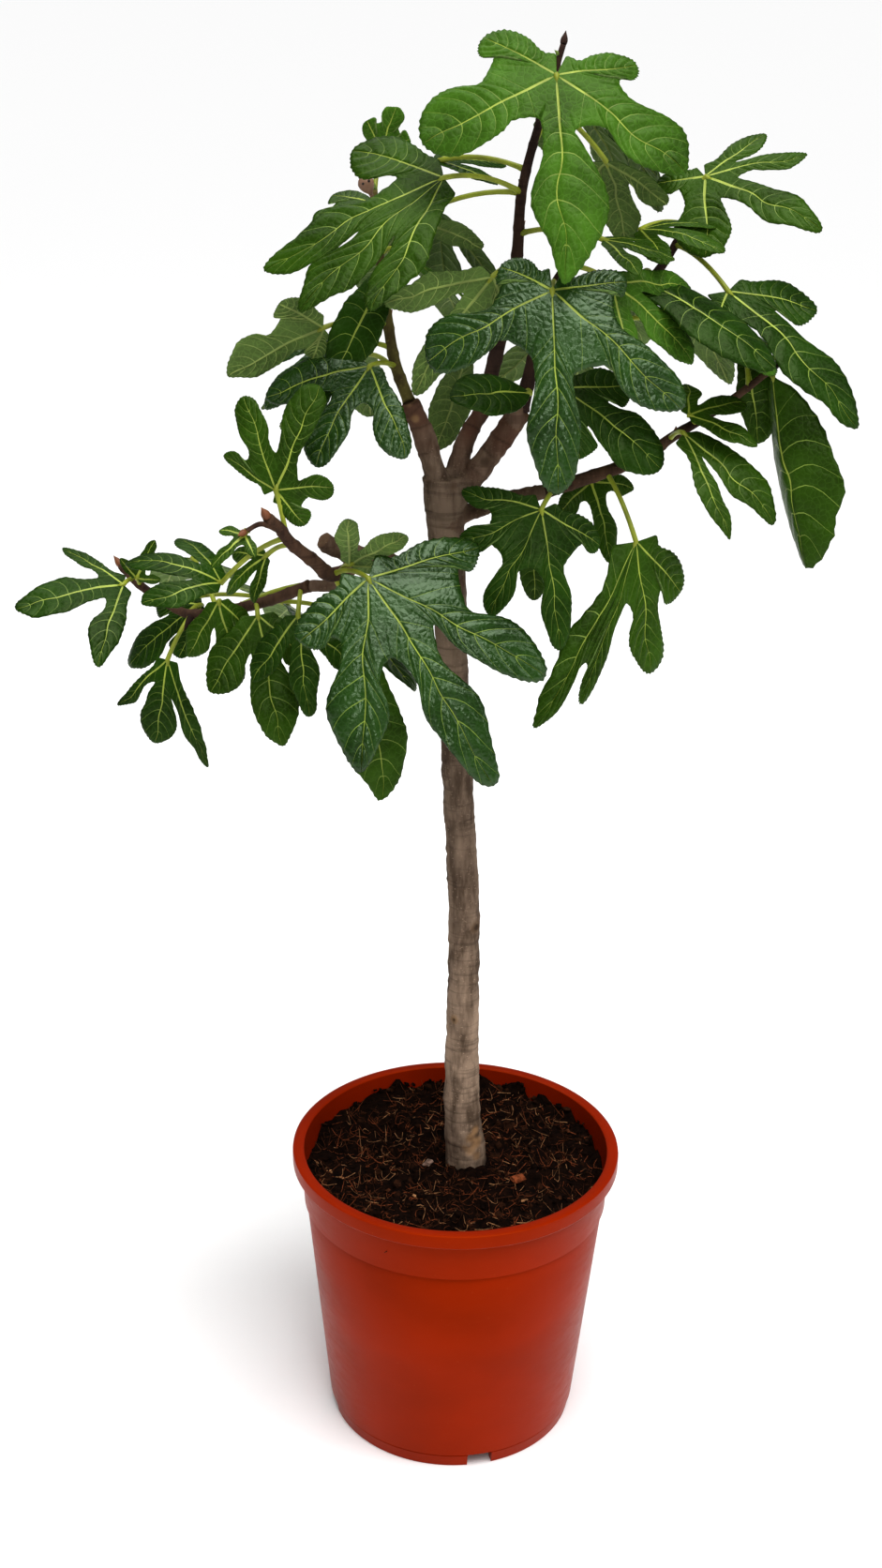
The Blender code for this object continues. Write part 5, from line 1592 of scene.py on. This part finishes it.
def notch_cutters():
    """An object with the rounded blocks that cut the notches in the pot's foot."""
    form = bmesh.new()
    out = Matrix.Translation(((FOOT_RADIUS + FOOT_INNER_RADIUS) / 2, 0, 0))
    size = Matrix.Diagonal((NOTCH_REACH, NOTCH_WIDTH, 2 * NOTCH_HEIGHT, 1))
    for index in range(NOTCH_COUNT):
        turn = math.radians(NOTCH_TURN - 90 + index * 360 / NOTCH_COUNT)
        place = Matrix.Rotation(turn, 4, "Z") @ out
        made = bmesh.ops.create_cube(form, size=1, matrix=place @ size)["verts"]
        top = [edge for edge in form.edges if all(vert in made and vert.co.z > 0 for vert in edge.verts)]
        bmesh.ops.bevel(form, geom=top, offset=NOTCH_ROUND, segments=3, profile=0.5, affect="EDGES",
                        material=-1)
    return placed("notches", mesh_of("notches", form))


def pot_piece(slot):
    """The pot, with its foot notched."""
    notches = notch_cutters()
    form = bmesh.new()
    spun(form, pot_profile(), SPIN_STEPS)
    cut = {"object": notches, "operation": "DIFFERENCE", "solver": "EXACT"}
    made = final_mesh("pot", form, [("BOOLEAN", cut)])
    bpy.data.objects.remove(notches)
    form = bmesh.new()
    form.from_mesh(made)
    painted(form, 0, True)
    for edge in form.edges:
        if len(edge.link_faces) == 2 and edge.calc_face_angle(0) > math.radians(CREASE):
            edge.smooth = False
    return piece("pot_turned", form, [slot])


def soil_height(place):
    """How high the compost stands at a place, over its mean level."""
    return sum(height * noise.noise(Vector((place.x, place.y, layer)) * fineness)
               for height, layer, fineness in ROUGHNESS)


def soil_level(place):
    """The compost's level at a place: higher round the trunk, at the back and where it clings to the wall."""
    wall = RIM_INNER_RADIUS - 0.002
    out = math.hypot(place.x, place.y) / wall
    back = max(place.y / wall, 0)
    mean = COMPOST_TOP + COMPOST_RISE - (COMPOST_RISE + COMPOST_EDGE_DROP) * out ** 2
    behind = BACK_RISE * back * out ** 2
    ragged = max(noise.noise(Vector((place.x, place.y, 8.0)) * 60) + 0.15, 0) * out ** 24
    mound = MOUND_RISE * math.exp(-((place - TRUNK_PLACE).to_2d().length / MOUND_REACH) ** 2)
    return mean + soil_height(place) + behind + mound + ragged * (0.004 + 0.016 * back)


def soil_point(rng, reach=SOIL_REACH):
    """A random place on the compost, clear of the trunk."""
    while True:
        place = Vector((rng.uniform(-reach, reach), rng.uniform(-reach, reach), 0))
        if place.length < reach and (place - TRUNK_PLACE).length > TRUNK_CLEAR:
            return Vector((place.x, place.y, soil_level(place)))


def tumbled(rng, spot, least, most):
    """A place at the spot, turned at random and tipped between two angles."""
    place = Matrix.Translation(spot) @ Matrix.Rotation(rng.uniform(0, math.pi), 4, "Z")
    return place @ Matrix.Rotation(rng.uniform(least, most), 4, "X")


def roughened(form, middle, fineness, share):
    """Pushes each point of a small form in or out from its middle."""
    for vert in form.verts:
        vert.co += (vert.co - middle) * noise.noise(vert.co * fineness) * share


def add_crumbs(form, rng):
    """Adds crumbs, some of them up against the wall."""
    for index in range(CRUMBS):
        spot = soil_point(rng)
        size = rng.uniform(*CRUMB_SIZES) * (1.4 if index % 9 == 0 else 1)
        if index % 7 == 0:
            turn = rng.uniform(0, math.tau)
            rise = rng.uniform(0, CRUMBS_UP_WALL) * max(math.sin(turn), 0.12)
            out = wall_radius(COMPOST_TOP) - WALL - CRUMB_CLEAR - size * 0.5
            spot = Vector((math.cos(turn) * out, math.sin(turn) * out, 0))
            spot.z = soil_level(spot) + rise
        place = tumbled(rng, spot, 0, 1.2)
        shape = Matrix.Diagonal((rng.uniform(0.8, 1.7), rng.uniform(0.7, 1.2), rng.uniform(0.5, 1.0), 1))
        crumb = bmesh.new()
        bmesh.ops.create_icosphere(crumb, subdivisions=1, radius=size, matrix=place @ shape)
        roughened(crumb, spot, 900, 0.7)
        painted(crumb, 1 if index % 3 == 0 else 0)
        add_to(form, crumb)


def add_fibres(form, rng):
    """Adds thin bent fibres that lie on the compost."""
    for index in range(FIBRES):
        spot = soil_point(rng, FIBRE_REACH)
        way = bearing(rng.uniform(0, 360), rng.uniform(-15, 45))
        bend = bearing(rng.uniform(0, 360), rng.uniform(-20, 70)) * rng.uniform(0.6, 4.2)
        length = rng.uniform(*FIBRE_LENGTHS)
        points = []
        for step in range(len(FIBRE_SWELLS)):
            t = step / (len(FIBRE_SWELLS) - 1) - 0.5
            point = spot + (way * t + bend * t * t * 0.8) * length
            point.z = max(point.z, soil_level(point) + 0.0004)
            points.append(point)
        thick = rng.uniform(*FIBRE_WIDTHS)
        widths = [thick * swell for swell in FIBRE_SWELLS]
        add_tube(form, points, widths, 3, FIBRE_SLOTS[index % len(FIBRE_SLOTS)])


def add_chips(form, rng):
    """Adds flat chips of bark. The first two are the large ones in front."""
    for index in range(CHIPS):
        spot = soil_point(rng)
        size = rng.uniform(*CHIP_SIZES)
        slot = 4 if index % 3 else 3
        if index < len(BIG_CHIPS):
            centre, size, slot = BIG_CHIPS[index]
            spot = Vector(centre)
        spot.z = soil_level(spot) + size * 0.35
        place = tumbled(rng, spot, -0.5, 0.5)
        shape = Matrix.Diagonal((rng.uniform(1.0, 1.7), rng.uniform(0.6, 1.0), CHIP_FLATNESS, 1))
        chip = bmesh.new()
        bmesh.ops.create_cube(chip, size=size, matrix=place @ shape)
        bmesh.ops.bevel(chip, geom=chip.edges, offset=size * CHIP_EDGE, segments=1, profile=0.5,
                        affect="EDGES", material=-1)
        roughened(chip, spot, 500, 0.5)
        painted(chip, slot)
        add_to(form, chip)


def compost_piece(slots):
    """The compost's rough surface down to the pot's floor, with crumbs, fibres and chips of bark on it."""
    top = wall_radius(COMPOST_TOP) - WALL - COMPOST_CLEAR
    bottom = FLOOR_TOP + 0.001
    profile = [(top * step / COMPOST_RINGS, COMPOST_TOP) for step in range(COMPOST_RINGS + 1)]
    profile.append((wall_radius(STEP_LEVEL) - WALL - COMPOST_CLEAR, STEP_LEVEL))
    profile.append((wall_radius(0.03) - WALL - 0.004, bottom))
    profile.append((0, bottom))
    form = bmesh.new()
    spun(form, profile, COMPOST_STEPS)
    for vert in form.verts:
        if vert.co.z > COMPOST_TOP - 0.001:
            vert.co.z = soil_level(vert.co)
    painted(form, 0, True)
    rng = random.Random(SOIL_SEED)
    add_crumbs(form, rng)
    add_fibres(form, rng)
    add_chips(form, rng)
    bmesh.ops.recalc_face_normals(form, faces=form.faces)
    return piece("compost_rough", form, slots)


def soil_colour(name, colour, roughness=0.95):
    """Rough crumbly soil or fibre."""
    made, shader = material(name, colour, roughness)
    shader.inputs["Specular IOR Level"].default_value = 0.06
    clods = pattern(made, NOISE, 160, detail=6, roughness=0.7)
    grain = pattern(made, NOISE, 900, detail=4)
    base = mixed(made, clods, shade(colour, 0.35), shade(colour, 1.8), 0.38, 0.68)
    link(made, base, shader.inputs["Base Color"])
    bumps(made, shader, (clods, 0.9, 0.003), (grain, 0.7, 0.0012))
    return made


def compost_slots():
    """The compost's materials, in slot order."""
    return [
        soil_colour("compost", (0.0085, 0.0029, 0.0014)),
        soil_colour("brown crumbs", (0.030, 0.0105, 0.0045)),
        soil_colour("red fibre", (0.240, 0.066, 0.024), 0.5),
        soil_colour("tan fibre", (0.440, 0.220, 0.100), 0.5),
        soil_colour("brown fibre", (0.085, 0.028, 0.011), 0.6),
        soil_colour("pale chip", (0.230, 0.150, 0.115), 0.7),
    ]


def pot_plastic():
    """Satin terracotta plastic: faint mottling, fine scuffs and a little dust."""
    colour = (0.288, 0.0172, 0.0005)
    made, shader = material("terracotta plastic", colour, 0.36)
    shader.inputs["Specular IOR Level"].default_value = 0.17
    shader.inputs["Specular Tint"].default_value = (1.0, 0.30, 0.02, 1)
    drift = pattern(made, NOISE, 9, (1, 1, 1.6), detail=4)
    scuffs = pattern(made, NOISE, 55, (1, 1, 3.5), detail=6, roughness=0.7)
    specks = pattern(made, NOISE, 330, detail=3)
    fine = pattern(made, NOISE, 700, detail=3)
    base = mixed(made, drift, shade(colour, 0.86), shade(colour, 1.12), 0.3, 0.7)
    worn = blend(made, base, DUST, mixed(made, specks, BLACK, WHITE, 0.70, 0.76), 0.30)
    wear = mixed(made, scuffs, BLACK, WHITE, 0.56, 0.74)
    blend(made, worn, SCUFFED, wear, 0.22, shader.inputs["Base Color"])
    rough = mixed(made, scuffs, (0.30, 0.30, 0.30), (0.46, 0.46, 0.46), 0.35, 0.75)
    link(made, rough, shader.inputs["Roughness"])
    bumps(made, shader, (drift, 0.18, 0.002), (scuffs, 0.06, 0.0004), (fine, 0.10, 0.0002))
    return made


def dressed():
    """Grows every piece of the tree and its pot over the solids."""
    crown = Crown()
    for mass, rows in LEAVES.items():
        for row, green in zip(rows, GREENS[mass]):
            made = crown.leaf(row)
            if not crown.touches(mass, made[2:]):
                crown.keep(mass, row, made, green)
    crown.fill(random.Random(SEED))
    plan = row_plan()
    sheets = {1: half_lobe_sheet(plan, False), -1: half_lobe_sheet(plan, True)}
    greens = leaf_slots()
    twigs = twig_slots()
    for mass, leaves in crown.leaves.items():
        for obj in (leaf_piece(mass, leaves, greens, sheets, plan), twig_piece(mass, crown, twigs)):
            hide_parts(mass)
    bark = bark_piece([bark_colour("bark", (0.340, 0.245, 0.175), (0.125, 0.084, 0.056))])
    for node in ("trunk", *BOUGHS):
        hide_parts(node)
    pot = pot_piece(pot_plastic())
    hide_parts("pot")
    compost = compost_piece(compost_slots())
    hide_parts("compost")


def studio():
    """A pale floor under a white sky."""
    form = bmesh.new()
    bmesh.ops.create_grid(form, x_segments=1, y_segments=1, size=FLOOR_REACH)
    floor = placed("floor", mesh_of("floor", form))
    floor.data.materials.append(material("pale floor", FLOOR_COLOUR, 0.9)[0])
    scene = bpy.context.scene
    scene.world = bpy.data.worlds.new("studio")
    scene.world.use_nodes = True
    sky = scene.world.node_tree.nodes["Background"]
    sky.inputs["Color"].default_value = (1, 1, 1, 1)
    sky.inputs["Strength"].default_value = SKY_STRENGTH
    scene.view_settings.view_transform = "Standard"
    scene.view_settings.gamma = VIEW_GAMMA


def lights():
    """A broad overhead sun with four soft lights."""
    sun = bpy.data.lights.new("sun", "SUN")
    sun.energy = SUN_STRENGTH
    sun.angle = math.radians(SUN_SPREAD)
    high = placed("sun", sun)
    high.location = SUN_PLACE
    high.rotation_euler = Vector(SUN_WAY).to_track_quat("-Z", "Y").to_euler()
    for name, place, size, power in LIGHTS:
        light = bpy.data.lights.new(name, "AREA")
        light.shape = "RECTANGLE"
        light.size, light.size_y = size
        light.energy = power
        lamp = placed(name, light)
        lamp.location = place
        lamp.rotation_euler = (LIGHTS_AIM - Vector(place)).to_track_quat("-Z", "Y").to_euler()


def camera():
    """The camera at the photograph's viewing angle."""
    view = bpy.data.cameras.new("camera")
    view.lens = CAMERA_LENS
    eye = placed("camera", view)
    eye.location = CAMERA_PLACE
    pitch = Matrix.Rotation(math.radians(CAMERA_PITCH), 4, "X")
    roll = Matrix.Rotation(math.radians(CAMERA_ROLL), 4, "Z")
    eye.rotation_euler = (pitch @ roll).to_euler()
    bpy.context.scene.camera = eye


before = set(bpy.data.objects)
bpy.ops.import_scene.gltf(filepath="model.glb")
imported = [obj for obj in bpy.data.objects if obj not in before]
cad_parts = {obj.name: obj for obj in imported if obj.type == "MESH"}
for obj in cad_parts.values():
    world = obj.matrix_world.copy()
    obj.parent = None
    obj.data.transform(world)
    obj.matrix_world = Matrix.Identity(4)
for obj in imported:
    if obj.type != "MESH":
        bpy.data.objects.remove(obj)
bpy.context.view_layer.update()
studio()
lights()
camera()
dressed()
